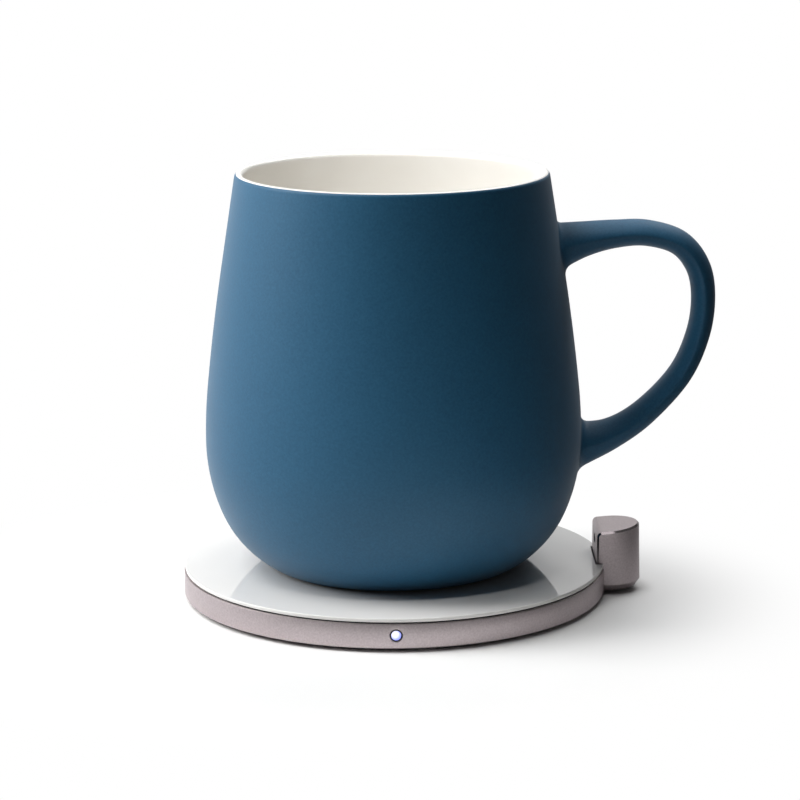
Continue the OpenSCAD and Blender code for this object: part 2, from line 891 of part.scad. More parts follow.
// The mug's outer face from the middle of its base up to the lip
outer_line = concat(
    [[0, foot_gap], [base_c.x, foot_gap]],
    arc(base_c, base_round, -90, -under_turn),
    arc(under_c, under_r, -under_turn, -hip_turn),
    arc(hip_c, hip_r, -hip_turn, 0),
    arc(shoulder_c, shoulder_r, 0, shoulder_turn),
    arc(flank_c, flank_r, shoulder_turn, wall_lean),
    [arc_point(lip_c, wall_t / 2, wall_lean)]
);

// The round lip, and the cup's face from there down to the middle of its floor
inner_line = concat(
    arc(lip_c, wall_t / 2, wall_lean, wall_lean + 180),
    [arc_point(flank_c, flank_r - wall_t, wall_lean)],
    arc(flank_c, flank_r - wall_t, wall_lean, shoulder_turn),
    arc(shoulder_c, shoulder_r - wall_t, shoulder_turn, 0),
    arc(hip_c, hip_r - wall_t, 0, -cup_turn),
    arc(cup_c, cup_round, -cup_turn, -90),
    [[0, z_cup]]
);

module mug_body() {
    color("#3d6a8d")
        translate([0, 0, z_top])
            difference() {
                rotate_extrude($fn = turned_fn)
                    polygon(concat(outer_line, inner_line));
                disc(recess_r, 0, z_recess);
            }
}

// The ear handle is a loft of almond-shaped rings, trimmed by the mug's wall
module handle() {
    points = [
        for (i = [0 : last_ring], k = [0 : handle_sides - 1])
            handle_point(i, 360 * k / handle_sides)
    ];
    sides = [
        for (i = [0 : last_ring - 1], k = [0 : handle_sides - 1])
            let (a = i * handle_sides + k, b = i * handle_sides + (k + 1) % handle_sides)
            each [[a, b, b + handle_sides], [a, b + handle_sides, a + handle_sides]]
    ];
    first_end = [for (k = [handle_sides - 1 : -1 : 0]) k];
    last_end = [for (k = [0 : handle_sides - 1]) last_ring * handle_sides + k];
    color("#3d6a8d")
        translate([0, 0, z_top])
            difference() {
                polyhedron(points, concat([first_end], sides, [last_end]));
                rotate_extrude($fn = turned_fn)
                    polygon(concat(outer_line, [[0, lip_c.y]]));
            }
}

module mug_cover() {
    groove_r = disc_r - seal_margin;
    color("#2a2b2e")
        translate([0, 0, z_top])
            difference() {
                disc(disc_r, foot_gap, z_cover);
                difference() {
                    disc(groove_r, foot_gap - over, foot_gap + seal_groove);
                    disc(groove_r - seal_w, foot_gap - 2 * over, z_cover);
                }
            }
}

module foot_ring() {
    ring_r = disc_r - seal_margin - fit;
    color("#1b1b1d")
        translate([0, 0, z_top])
            difference() {
                disc(ring_r, 0, foot_gap + seal_groove);
                disc(ring_r - seal_w + 2 * fit, -over, foot_gap + seal_groove + over);
            }
}

module receiver_coil() {
    color("#b8682f")
        translate([0, 0, z_top + z_receiver])
            spiral(receiver_turns);
}

// The coil's two ends turn up through the ferrite and the insulation to the heating plate
module receiver_leads() {
    rise = z_heater - z_receiver - receiver_bend;
    color("#b8682f")
        translate([0, 0, z_top + z_receiver]) {
            translate([coil_start_r, 0, 0]) {
                wire_bend(receiver_bend);
                translate([0, -receiver_bend, receiver_bend])
                    cylinder(d = wire_d, h = rise, $fn = small_fn);
            }
            translate([receiver_end_r, 0, 0]) {
                mirror([0, 1, 0])
                    wire_bend(receiver_bend);
                translate([0, receiver_bend, receiver_bend])
                    cylinder(d = wire_d, h = rise, $fn = small_fn);
            }
        }
}

// Room for the two leads where they pass through a disc
module lead_holes(z0, z1) {
    hole_r = wire_d / 2 + pass;
    translate([coil_start_r, -receiver_bend, 0])
        disc(hole_r, z0 - over, z1 + over);
    translate([receiver_end_r, receiver_bend, 0])
        disc(hole_r, z0 - over, z1 + over);
}

module receiver_ferrite() {
    color("#3a3a3c")
        translate([0, 0, z_top])
            difference() {
                disc(disc_r, z_shield, z_insulation);
                lead_holes(z_shield, z_insulation);
            }
}

module insulation_disc() {
    color("#cfc9bd")
        translate([0, 0, z_top])
            difference() {
                disc(disc_r, z_insulation, z_heater);
                lead_holes(z_insulation, z_heater);
                translate([cutout_x - cutout_l / 2 - fit, -cutout_w / 2 - fit, z_heater - cutout_h])
                    cube([cutout_l + 2 * fit, cutout_w + 2 * fit, cutout_h + over]);
            }
}

module thermal_cutout() {
    color("#6b5b45")
        translate([cutout_x - cutout_l / 2, -cutout_w / 2, z_top + z_heater - cutout_h])
            cube([cutout_l, cutout_w, cutout_h]);
}

module heating_plate() {
    color("#9a9ca0")
        translate([0, 0, z_top])
            disc(disc_r, z_heater, z_recess);
}

foot_mat();
base_plate();
base_screws();
rim_ring();
glass_gasket();
glass_top();
coil_tray();
ferrite_plate();
transmitter_coil();
coil_lead();
control_board();
board_chips();
board_capacitors();
board_choke();
board_screws();
indicator_led();
indicator_lens();
lens_collar();
inlet_shell();
inlet_tongue();
post_housing();
post_cover();
post_screws();
sensor_window();
sensor_chip();
sensor_board();
sensor_flex();
flex_socket();
mug_body();
handle();
mug_cover();
foot_ring();
receiver_coil();
receiver_leads();
receiver_ferrite();
insulation_disc();
thermal_cutout();
heating_plate();
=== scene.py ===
import math

import bmesh
import bpy
from mathutils import Matrix, Vector
from mathutils.geometry import delaunay_2d_cdt, intersect_point_line


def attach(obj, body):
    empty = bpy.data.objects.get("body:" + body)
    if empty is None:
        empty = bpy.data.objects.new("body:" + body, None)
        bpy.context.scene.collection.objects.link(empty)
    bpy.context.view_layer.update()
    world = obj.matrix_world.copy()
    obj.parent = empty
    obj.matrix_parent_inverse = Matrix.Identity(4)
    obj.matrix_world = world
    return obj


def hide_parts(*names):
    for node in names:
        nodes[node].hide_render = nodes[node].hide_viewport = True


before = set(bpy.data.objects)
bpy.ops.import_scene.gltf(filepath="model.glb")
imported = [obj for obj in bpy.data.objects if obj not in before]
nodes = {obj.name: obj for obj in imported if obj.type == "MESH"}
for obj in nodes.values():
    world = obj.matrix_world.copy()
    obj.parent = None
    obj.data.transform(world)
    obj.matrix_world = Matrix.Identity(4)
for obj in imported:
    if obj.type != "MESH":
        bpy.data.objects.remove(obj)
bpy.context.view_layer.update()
scene = bpy.context.scene
mm = 0.001
print("frame loaded:", len(nodes), "nodes")


# Small helpers

def linear(text):  # sRGB hex to a linear colour
    parts = [int(text[i:i + 2], 16) / 255 for i in (1, 3, 5)]
    return tuple(c / 12.92 if c <= 0.04045 else ((c + 0.055) / 1.055) ** 2.4 for c in parts) + (1.0,)


def addNode(tree, kind, values={}, links={}, **settings):
    node = tree.nodes.new(kind)
    for key, value in settings.items():
        setattr(node, key, value)
    for key, value in values.items():
        node.inputs[key].default_value = value
    for key, source in links.items():
        tree.links.new(source, node.inputs[key])
    return node


def metres(*place):  # from mm
    return tuple(c * mm for c in place)


def grain(size):  # noise scale for a grain of that size in mm, on coordinates in metres
    return 1 / (size * mm)


def addObject(name, data):
    thing = bpy.data.objects.new(name, data)
    scene.collection.objects.link(thing)
    return thing


def addPiece(name, mesh, body, slot, *replaced):
    piece = addObject(name, mesh)
    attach(piece, body)
    if replaced:
        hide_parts(*replaced)


def plainMesh(name, bm):
    mesh = bpy.data.meshes.new(name)
    bm.to_mesh(mesh)
    bm.free()
    return mesh


def smooth(mesh, sharpAngle):  # all but the edges sharper than that, in degrees
    mesh.shade_smooth()
    mesh.set_sharp_from_angle(angle=math.radians(sharpAngle))
    return mesh


def meshFromBm(name, bm, sharpAngle, *materials):
    bm.normal_update()
    bmesh.ops.recalc_face_normals(bm, faces=bm.faces)
    mesh = plainMesh(name, bm)
    for material in materials:
        mesh.materials.append(material)
    return smooth(mesh, sharpAngle)


def skin(bm, rings, finish=0):  # faces between rings of points
    for lower, upper in zip(rings, rings[1:]):
        for k in range(len(lower)):
            bm.faces.new((lower[k - 1], lower[k], upper[k], upper[k - 1])).material_index = finish


def applied(carrier):  # the mesh that an object's modifiers give; the object goes
    mesh = bpy.data.meshes.new_from_object(carrier.evaluated_get(bpy.context.evaluated_depsgraph_get()))
    carrier.modifiers.clear()
    bpy.data.objects.remove(carrier)
    return mesh


def facesOut(mesh):  # turns the faces of a closed mesh outwards
    bm = bmesh.new()
    bm.from_mesh(mesh)
    bmesh.ops.recalc_face_normals(bm, faces=bm.faces)
    bm.to_mesh(mesh)
    bm.free()
    return mesh


# Materials

def startMaterial(name, **values):
    material = bpy.data.materials.new(name)
    material.use_nodes = True
    tree = material.node_tree
    tree.nodes.clear()
    shader = addNode(tree, "ShaderNodeBsdfPrincipled", values)
    addNode(tree, "ShaderNodeOutputMaterial", links={"Surface": shader.outputs[0]})
    place = addNode(tree, "ShaderNodeTexCoord").outputs["Object"]
    return material, tree, shader, place


def relief(tree, shader, tone, noise, rough, spread, height):
    # Links a tone to the shader, with a roughness and a relief in mm that follow the noise
    level = addNode(tree, "ShaderNodeMapRange", {"To Min": rough - spread, "To Max": rough + spread},
                    {"Value": noise.outputs["Fac"]})
    tree.links.new(tone.outputs[2], shader.inputs["Base Color"])
    tree.links.new(level.outputs[0], shader.inputs["Roughness"])
    if height:
        bump = addNode(tree, "ShaderNodeBump", {"Strength": 1.0, "Distance": height * mm},
                       {"Height": noise.outputs["Fac"]})
        tree.links.new(bump.outputs[0], shader.inputs["Normal"])


def mottled(name, dark, light, size, rough, spread, height=0.0, detail=3.0, **values):
    # A plain made surface: two close tones, a roughness that wanders and a fine relief, all of one grain in mm
    material, tree, shader, place = startMaterial(name, **values)
    noise = addNode(tree, "ShaderNodeTexNoise", {"Scale": grain(size), "Detail": detail}, {"Vector": place})
    tone = addNode(tree, "ShaderNodeMix", {6: linear(dark), 7: linear(light)},
                   {0: noise.outputs["Fac"]}, data_type="RGBA")
    relief(tree, shader, tone, noise, rough, spread, height)
    return material


flecks = {"From Min": 0.3, "From Max": 0.7, "To Max": 0.42}  # how much of their tone the noise lets in


def flecked(name, dark, light, drift, fleck, size, rough, spread, height, grainRoughness=0.5, **values):
    # Two close tones that drift slowly, and finer flecks of a third tone that stand in relief; sizes in mm
    material, tree, shader, place = startMaterial(name, **values)
    fine = addNode(tree, "ShaderNodeTexNoise",
                   {"Scale": grain(size), "Detail": 3.0, "Roughness": grainRoughness}, {"Vector": place})
    slow = addNode(tree, "ShaderNodeTexNoise", {"Scale": grain(drift), "Detail": 2.0}, {"Vector": place})
    ground = addNode(tree, "ShaderNodeMix", {6: linear(dark), 7: linear(light)},
                     {0: slow.outputs["Fac"]}, data_type="RGBA")
    share = addNode(tree, "ShaderNodeMapRange", flecks, {"Value": fine.outputs["Fac"]})
    tone = addNode(tree, "ShaderNodeMix", {7: linear(fleck)},
                   {0: share.outputs[0], 6: ground.outputs[2]}, data_type="RGBA")
    relief(tree, shader, tone, fine, rough, spread, height)
    return material


def boardMask():
    # Glass-fibre board under green solder mask: a faint weave of 0.5 mm threads under a satin lacquer
    material, tree, shader, place = startMaterial("boardGreenSolderMask", Roughness=0.35)
    weave = addNode(tree, "ShaderNodeTexWave", {"Scale": grain(0.5) / math.tau, "Distortion": 0.4},
                    {"Vector": place}, wave_type="BANDS")
    tone = addNode(tree, "ShaderNodeMix", {6: linear("#1a5236"), 7: linear("#21603f")},
                   {0: weave.outputs["Fac"]}, data_type="RGBA")
    tree.links.new(tone.outputs[2], shader.inputs["Base Color"])
    return material


# Stoneware under a matt blue glaze, sprayed and fired: soft sheen, fine eggshell grain, slow drift of tone.
# Real grain is about 0.2 mm; it is drawn at 0.6 mm so that it shows.
blueGlaze = flecked("stonewareSatinBlueGlaze", "#134e70", "#155678", drift=28, fleck="#2f6c8d", size=0.6,
                    rough=0.56, spread=0.06, height=0.02, grainRoughness=0.6,
                    **{"IOR": 1.5, "Specular IOR Level": 0.43, "Sheen Weight": 0.15, "Sheen Roughness": 0.4})
# Aluminium, bead-blasted and anodised a warm taupe: an even satin, with paler flecks painted in as the grit's
# glints.
# Real grit leaves pits of about 0.1 mm; they are drawn at 0.45 mm so that they show.
anodised = flecked("aluminiumBeadBlastedTaupe", "#b1a5a8", "#baafb1", drift=6, fleck="#ddd4d5", size=0.45,
                   rough=0.45, spread=0.05, height=0.014, Metallic=1.0)
greenBoard = boardMask()

# These give a name, a darker and a lighter tone, grain in mm, roughness, its spread, and relief in mm

# The mug's body under a clear gloss glaze: warm white, wet shine, faint waves where the glaze ran
clearGlaze = mottled("stonewareClearWhiteGlaze", "#f6f3ed", "#f9f7f2", 9, 0.23, 0.04, 0.03, detail=1.0, IOR=1.5)
# Unglazed fired clay: chalky, with sand that shows
bisque = mottled("stonewareBareBisque", "#cfc6b6", "#ddd6c8", 0.6, 0.85, 0.05, 0.03)
# The anodised aluminium, cut bright with a diamond tool: a mirror band with the faintest tool lines
diamondCut = mottled("aluminiumDiamondCut", "#8f8789", "#9a9294", 0.6, 0.2, 0.04, detail=1.0, Metallic=1.0)
# Clear soda-lime glass with white paint fired on its back: deep white under a hard polished face
glassWhite = mottled("glassBackPaintedWhite", "#e6e4e1", "#ebe9e6", 14, 0.04, 0.01, detail=2.0, IOR=1.52)
# Moulded silicone: dull, grippy black that holds a little dust
silicone = mottled("siliconeMoulded", "#161413", "#1f1c1b", 0.8, 0.8, 0.08, 0.02, **{"Specular IOR Level": 0.3})
# Moulded ABS with a fine spark-eroded texture: dull black, or an even cream
blackPlastic = mottled("plasticMouldedBlack", "#1d1c1e", "#272628", 0.35, 0.55, 0.08, 0.012)
palePlastic = mottled("plasticMouldedPale", "#d3d2cd", "#dfded9", 0.5, 0.5, 0.06, 0.01)
# Closed-cell foam with glue on both faces: dead black edge
foam = mottled("foamGasketDark", "#1f1c1d", "#2b2829", 0.3, 0.9, 0.05, 0.03)
# Smoked acrylic that lets infrared through, with a dull face: plain black, and with no reflection at all, as painted
# shade in place of a deeper, shadowed slot
smokedPaintedShade = mottled("acrylicSmoked", "#0b0a0c", "#121014", 2.0, 0.3, 0.05, **{"Specular IOR Level": 0.0})
# Plated sheet and contacts: bright with a soft haze, the nickel grey and the gold warm
plated = mottled("steelNickelPlated", "#b9bbbd", "#c9cacb", 0.8, 0.25, 0.06, 0.002, Metallic=1.0)
gold = mottled("contactGoldPlated", "#d0a552", "#ddb565", 0.3, 0.22, 0.05, 0.001, Metallic=1.0)
# Bare steel: fine tool marks where it was turned, a soft grey haze where it was rolled
screwSteel = mottled("steelTurned", "#8a8c8f", "#9a9c9e", 0.2, 0.35, 0.08, 0.004, Metallic=1.0)
stainless = mottled("steelRolledStainless", "#96989b", "#a5a7a9", 0.5, 0.32, 0.06, 0.004, Metallic=1.0)
# Wound copper under enamel: orange-brown with a lacquer's shine
copper = mottled("copperEnamelledWire", "#a65a28", "#bd6f36", 0.7, 0.28, 0.06, 0.003, Metallic=0.9)
# Fired powders: ferrite is a gritty charcoal, the capacitors a dull tan
ferrite = mottled("ferriteSintered", "#333335", "#414143", 0.25, 0.7, 0.08, 0.02)
tanCeramic = mottled("capacitorFiredCeramic", "#97805a", "#a8916a", 0.3, 0.5, 0.06, 0.01)
# Resins: a chip's flat black epoxy, the light source's glossy clear, the cut-out's half-gloss brown
epoxy = mottled("epoxyMouldedChip", "#1f1f21", "#29292b", 0.25, 0.55, 0.08, 0.01)
clearResin = mottled("resinCastClear", "#efefe8", "#f7f7f2", 0.6, 0.15, 0.04, 0.002)
phenolic = mottled("phenolicMouldedBrown", "#5f503b", "#73624a", 0.5, 0.5, 0.08, 0.01)
# Polyimide film: satin amber
amberFilm = mottled("polyimideFilmAmber", "#a97f34", "#bf9447", 0.8, 0.3, 0.05, 0.002)
# Pressed ceramic fibre: woolly and quite matt
felt = mottled("feltCeramicFibre", "#c4beb2", "#d8d2c6", 0.4, 0.95, 0.04, 0.08)

# The CAD nodes by finish, those behind a piece too
for material, names in (
        (silicone, "foot_mat foot_ring"), (foam, "glass_gasket"), (palePlastic, "coil_tray flex_socket"),
        (blackPlastic, "base_plate inlet_tongue post_cover mug_cover lens_collar"),
        (screwSteel, "base_screws board_screws post_screws"), (stainless, "heating_plate"),
        (copper, "transmitter_coil coil_lead receiver_coil receiver_leads"), (plated, "inlet_shell"),
        (ferrite, "ferrite_plate board_choke receiver_ferrite"), (tanCeramic, "board_capacitors"),
        (greenBoard, "control_board sensor_board"), (epoxy, "board_chips sensor_chip"),
        (clearResin, "indicator_led"), (smokedPaintedShade, "sensor_window"), (amberFilm, "sensor_flex"),
        (felt, "insulation_disc"), (phenolic, "thermal_cutout"), (blueGlaze, "mug_body handle"),
        (anodised, "rim_ring post_housing"), (glassWhite, "glass_top")):
    for name in names.split():
        nodes[name].data.materials[0] = material
print("materials made:", len(bpy.data.materials))


# Node trees that make meshes; the first turns a profile of points [radius, height] round the Z axis

def startTree(name, output, inputs):
    tree = bpy.data.node_groups.new(name, "GeometryNodeTree")
    sockets = {}
    for label, kind in inputs.items():
        socket = tree.interface.new_socket(label, in_out="INPUT", socket_type="NodeSocket" + kind)
        sockets[label] = socket.identifier
    tree.interface.new_socket(output, in_out="OUTPUT", socket_type="NodeSocketGeometry")
    return tree, sockets, addNode(tree, "NodeGroupInput").outputs


def runTree(name, mesh, tree, sockets, values):  # what a tree makes of a mesh, as a plain mesh
    carrier = addObject(name + "Carrier", mesh)
    modifier = carrier.modifiers.new(tree.name, "NODES")
    modifier.node_group = tree
    for label, value in zip(list(sockets)[1:], values):
        modifier[sockets[label]] = value
    made = applied(carrier)
    bpy.data.meshes.remove(mesh)
    made.name = name
    return made


def turningTree():
    tree, sockets, given = startTree("turnedPiece", "Turned", {
        "Profile": "Geometry", "Steps around": "Int", "First change": "Int", "Second change": "Int",
        "First finish": "Material", "Second finish": "Material", "Third finish": "Material"})
    steps = given["Steps around"]
    count = addNode(tree, "GeometryNodeAttributeDomainSize", links={0: given["Profile"]}).outputs["Point Count"]
    columns = addNode(tree, "ShaderNodeMath", {1: 1.0}, {0: steps}).outputs[0]
    grid = addNode(tree, "GeometryNodeMeshGrid", links={"Vertices X": count, "Vertices Y": columns})
    index = addNode(tree, "GeometryNodeInputIndex").outputs[0]
    levels = {"index": index, "columns": columns, "steps": steps}
    for label, how, *sources in (
            ("share", "DIVIDE", "index", "columns"), ("row", "FLOOR", "share"),
            ("column", "MODULO", "index", "columns"), ("part", "DIVIDE", "column", "steps"),
            ("faceShare", "DIVIDE", "index", "steps"), ("faceRow", "FLOOR", "faceShare")):
        links = {i: levels[other] for i, other in enumerate(sources)}
        levels[label] = addNode(tree, "ShaderNodeMath", links=links, operation=how).outputs[0]
    angle = addNode(tree, "ShaderNodeMath", {1: math.tau}, {0: levels["part"]}, operation="MULTIPLY").outputs[0]
    place = addNode(tree, "GeometryNodeInputPosition").outputs[0]
    sample = addNode(tree, "GeometryNodeSampleIndex", data_type="FLOAT_VECTOR",
                     links={"Geometry": given["Profile"], "Value": place, "Index": levels["row"]})
    split = addNode(tree, "ShaderNodeSeparateXYZ", links={0: sample.outputs[0]}).outputs
    spread = {}
    for axis, wave in (("X", "COSINE"), ("Y", "SINE")):
        swing = addNode(tree, "ShaderNodeMath", links={0: angle}, operation=wave)
        spread[axis] = addNode(tree, "ShaderNodeMath", links={0: split["X"], 1: swing.outputs[0]},
                               operation="MULTIPLY").outputs[0]
    target = addNode(tree, "ShaderNodeCombineXYZ", links={**spread, "Z": split["Z"]}).outputs[0]
    marked = addNode(tree, "GeometryNodeStoreNamedAttribute", {"Name": "profileRow"},
                     {"Geometry": grid.outputs["Mesh"], "Value": levels["faceRow"]},
                     data_type="INT", domain="FACE")
    turned = addNode(tree, "GeometryNodeSetPosition", links={"Geometry": marked.outputs[0], "Position": target})
    closed = addNode(tree, "GeometryNodeMergeByDistance", {"Distance": 0.002 * mm},
                     {"Geometry": turned.outputs[0]})
    real = addNode(tree, "GeometryNodeRealizeInstances", links={"Geometry": closed.outputs[0]})
    known = addNode(tree, "GeometryNodeInputNamedAttribute", {"Name": "profileRow"}, data_type="INT")
    dressed = addNode(tree, "GeometryNodeSetMaterial",
                      links={"Geometry": real.outputs[0], "Material": given["First finish"]})
    for change, finish in (("First change", "Second finish"), ("Second change", "Third finish")):
        past = addNode(tree, "FunctionNodeCompare", links={2: known.outputs[0], 3: given[change]},
                       data_type="INT", operation="GREATER_EQUAL")
        dressed = addNode(tree, "GeometryNodeSetMaterial",
                          links={"Geometry": dressed.outputs[0], "Selection": past.outputs[0],
                                 "Material": given[finish]})
    addNode(tree, "NodeGroupOutput", links={0: dressed.outputs[0]})
    return tree, sockets


turnTree, turnSockets = turningTree()


def turn(name, profile, steps, finishes, changes=()):
    # profile in mm; finishes change at the profile rows given
    line = bpy.data.meshes.new(name + "Profile")
    line.from_pydata([metres(r, 0, z) for r, z in profile], [(i, i + 1) for i in range(len(profile) - 1)], [])
    ends = list(changes) + [len(profile)] * (2 - len(changes))
    chosen = list(finishes) + [finishes[-1]] * (3 - len(finishes))
    return runTree(name, line, turnTree, turnSockets, [steps, *ends, *chosen])


# The mug: a turned body with a lofted ear handle sewn into its wall

mug = {
    "standsAt": 8.6, "height": 102.2, "wall": 2.3, "bellyR": 48.7, "bellyZ": 33.0,
    "shoulderR": 137.0, "shoulderTurn": 5.8, "flankR": 540.0, "lean": 8.95,
    "hipR": 48.5, "hipTurn": 22.6, "underR": 28.3, "baseRound": 2.5, "footGap": 0.4,
    "floorZ": 13.2, "cupRound": 12.0, "baseRim": 5.0, "recessTop": 8.2,
    "glazeLine": 54.0,  # where the blue stops on the lip's round, in degrees from level
    "steps": 256, "sharp": 50,
    "rowLength": 1.5, "baseRow": 0.4, "glazeRow": 0.2, "lipRow": 0.3, "floorRow": 4.0,
}


def arcPoint(centre, r, a):
    return (centre[0] + r * math.cos(math.radians(a)), centre[1] + r * math.sin(math.radians(a)))


def arcRun(centre, r, start, end, rowLength):  # points along an arc, without its first one
    count = max(2, math.ceil(abs(math.radians(end - start)) * r / rowLength))
    return [arcPoint(centre, r, start + (end - start) * i / count) for i in range(1, count + 1)]


def lineRun(p, q, rowLength):
    count = max(1, math.ceil(math.dist(p, q) / rowLength))
    return [(p[0] + (q[0] - p[0]) * i / count, p[1] + (q[1] - p[1]) * i / count) for i in range(1, count + 1)]


shoulderC = (mug["bellyR"] - mug["shoulderR"], mug["bellyZ"])
flankC = arcPoint(shoulderC, mug["shoulderR"] - mug["flankR"], mug["shoulderTurn"])
hipC = (mug["bellyR"] - mug["hipR"], mug["bellyZ"])
underC = arcPoint(hipC, mug["hipR"] - mug["underR"], -mug["hipTurn"])
underIn = mug["underR"] - mug["baseRound"]
underTurn = math.degrees(math.asin((underC[1] - mug["baseRound"] - mug["footGap"]) / underIn))
baseC = arcPoint(underC, underIn, -underTurn)
wallMid = arcPoint(flankC, mug["flankR"] - mug["wall"] / 2, mug["lean"])
lipR = mug["wall"] / 2
rise = mug["height"] - lipR - wallMid[1]
lipC = (wallMid[0] - rise * math.tan(math.radians(mug["lean"])), wallMid[1] + rise)
innerHip = mug["hipR"] - mug["wall"] - mug["cupRound"]
cupTurn = math.degrees(math.asin((hipC[1] - mug["cupRound"] - mug["floorZ"]) / innerHip))
cupC = arcPoint(hipC, innerHip, -cupTurn)
wallTop = arcPoint(flankC, mug["flankR"], mug["lean"])


def wallRadius(z):  # the outer wall's radius at a height above the glass
    def arcR(c, r):
        return c[0] + math.sqrt(r * r - (z - c[1]) ** 2)

    if z > wallTop[1]:
        return wallTop[0] - (z - wallTop[1]) * math.tan(math.radians(mug["lean"]))
    if z > arcPoint(flankC, mug["flankR"], mug["shoulderTurn"])[1]:
        return arcR(flankC, mug["flankR"])
    if z > mug["bellyZ"]:
        return arcR(shoulderC, mug["shoulderR"])
    if z > arcPoint(hipC, mug["hipR"], -mug["hipTurn"])[1]:
        return arcR(hipC, mug["hipR"])
    return arcR(underC, mug["underR"])


def mugProfile():
    step, lean, wall, line = mug["rowLength"], mug["lean"], mug["wall"], mug["glazeLine"]
    recessR, recessTop, footGap = baseC[0] - mug["baseRim"], mug["recessTop"], mug["footGap"]
    bare = [(0, recessTop), (recessR, recessTop), (recessR, footGap), (baseC[0], footGap)]
    blue = arcRun(baseC, mug["baseRound"], -90, -underTurn, mug["baseRow"])
    blue += arcRun(underC, mug["underR"], -underTurn, -mug["hipTurn"], step)
    blue += arcRun(hipC, mug["hipR"], -mug["hipTurn"], 0, step)
    blue += arcRun(shoulderC, mug["shoulderR"], 0, mug["shoulderTurn"], step)
    blue += arcRun(flankC, mug["flankR"], mug["shoulderTurn"], lean, step)
    blue += lineRun(wallTop, arcPoint(lipC, lipR, lean), step)
    blue += arcRun(lipC, lipR, lean, line, mug["glazeRow"])
    white = arcRun(lipC, lipR, line, lean + 180, mug["lipRow"])
    white += lineRun(white[-1], arcPoint(flankC, mug["flankR"] - wall, lean), step)
    white += arcRun(flankC, mug["flankR"] - wall, lean, mug["shoulderTurn"], step)
    white += arcRun(shoulderC, mug["shoulderR"] - wall, mug["shoulderTurn"], 0, step)
    white += arcRun(hipC, mug["hipR"] - wall, 0, -cupTurn, step)
    white += arcRun(cupC, mug["cupRound"], -cupTurn, -90, step)
    white += lineRun(white[-1], (0, mug["floorZ"]), mug["floorRow"])
    return bare + blue + white, (len(bare) - 1, len(bare) + len(blue) - 1)


handle = {
    "top": 85.9, "low": 30.0, "reach": 31.2, "thick": 6.2, "wide": 11.0,
    "rootThick": 13.0, "rootWide": 14.0, "rootDepth": 2.5, "upperRoot": 0.936,
    "ridge": 0.3,  # how sharply the sides draw in to their ridge
    "fillet": 2.2, "topFillet": 0.9, "sides": 56, "rows": 150, "filletRows": 7,
    # Steps along the stations: for the bar's run, and to find the wall and the fillet's end
    "runStep": 0.05, "wallStep": 0.02, "filletStep": 0.005, "halvings": 30,
    # In mm: least height of the fillet off the wall, reach of the wall's slope, and the seam's room
    "standOff": 0.004, "slopeReach": 0.1, "seamMargin": 3.0, "seamClear": 0.6, "wallNear": 0.1,
}


def rootOut(up):
    z = handle["low"] + up * (handle["top"] - handle["low"])
    return (wallRadius(z) - handle["rootDepth"] - mug["bellyR"]) / handle["reach"]


# Stations along the handle's middle line: how far out, how high, how much of the root's flare
stations = [
    (rootOut(handle["upperRoot"]), handle["upperRoot"], 0.98), (0.01, 0.974, 0.43), (0.27, 0.997, 0.15),
    (0.53, 1.0, 0.07), (0.795, 0.953, 0.04), (0.954, 0.841, 0.02), (1.0, 0.693, 0.0),
    (0.957, 0.519, 0.0), (0.811, 0.335, 0.02), (0.522, 0.158, 0.1), (0.24, 0.056, 0.31),
    (rootOut(0), 0.0, 0.95),
]
lastStation = len(stations) - 1


def along(s):  # a smooth curve through the stations
    i = min(max(int(math.floor(s)), 0), lastStation - 1)
    t = s - i

    def at(j):
        if j < 0:
            return Vector(stations[0]) * 2 - Vector(stations[1])
        if j > lastStation:
            return Vector(stations[-1]) * 2 - Vector(stations[-2])
        return Vector(stations[j])

    a, b, c, d = at(i - 1), at(i), at(i + 1), at(i + 2)
    return (b * 2 + (c - a) * t + (a * 2 - b * 5 + c * 4 - d) * t * t + (b * 3 - a - c * 3 + d) * t ** 3) / 2


def handleMiddle(s):
    out, up, flare = along(s)
    x, z = mug["bellyR"] + out * handle["reach"], handle["low"] + up * (handle["top"] - handle["low"])
    return Vector((x, z)), flare


def handlePoint(s, a):  # a point of the loft, in mm above the glass
    middle, flare = handleMiddle(s)
    step = handle["runStep"]
    run = handleMiddle(min(s + step, lastStation))[0] - handleMiddle(max(s - step, 0))[0]
    normal = Vector((-run.y, run.x)).normalized()
    thick = handle["thick"] + flare * (handle["rootThick"] - handle["thick"])
    wide = handle["wide"] + flare * (handle["rootWide"] - handle["wide"])
    lift = math.copysign(abs(math.sin(a)) ** (1 + handle["ridge"]), math.sin(a)) * thick / 2
    return Vector((middle.x + lift * normal.x, math.cos(a) * wide / 2, middle.y + lift * normal.y))


def onWall(p):
    turned = math.atan2(p.y, p.x)
    r = wallRadius(p.z)
    return Vector((r * math.cos(turned), r * math.sin(turned), p.z))


def outside(p):  # how far a point stands off the wall
    return math.hypot(p.x, p.y) - wallRadius(p.z)


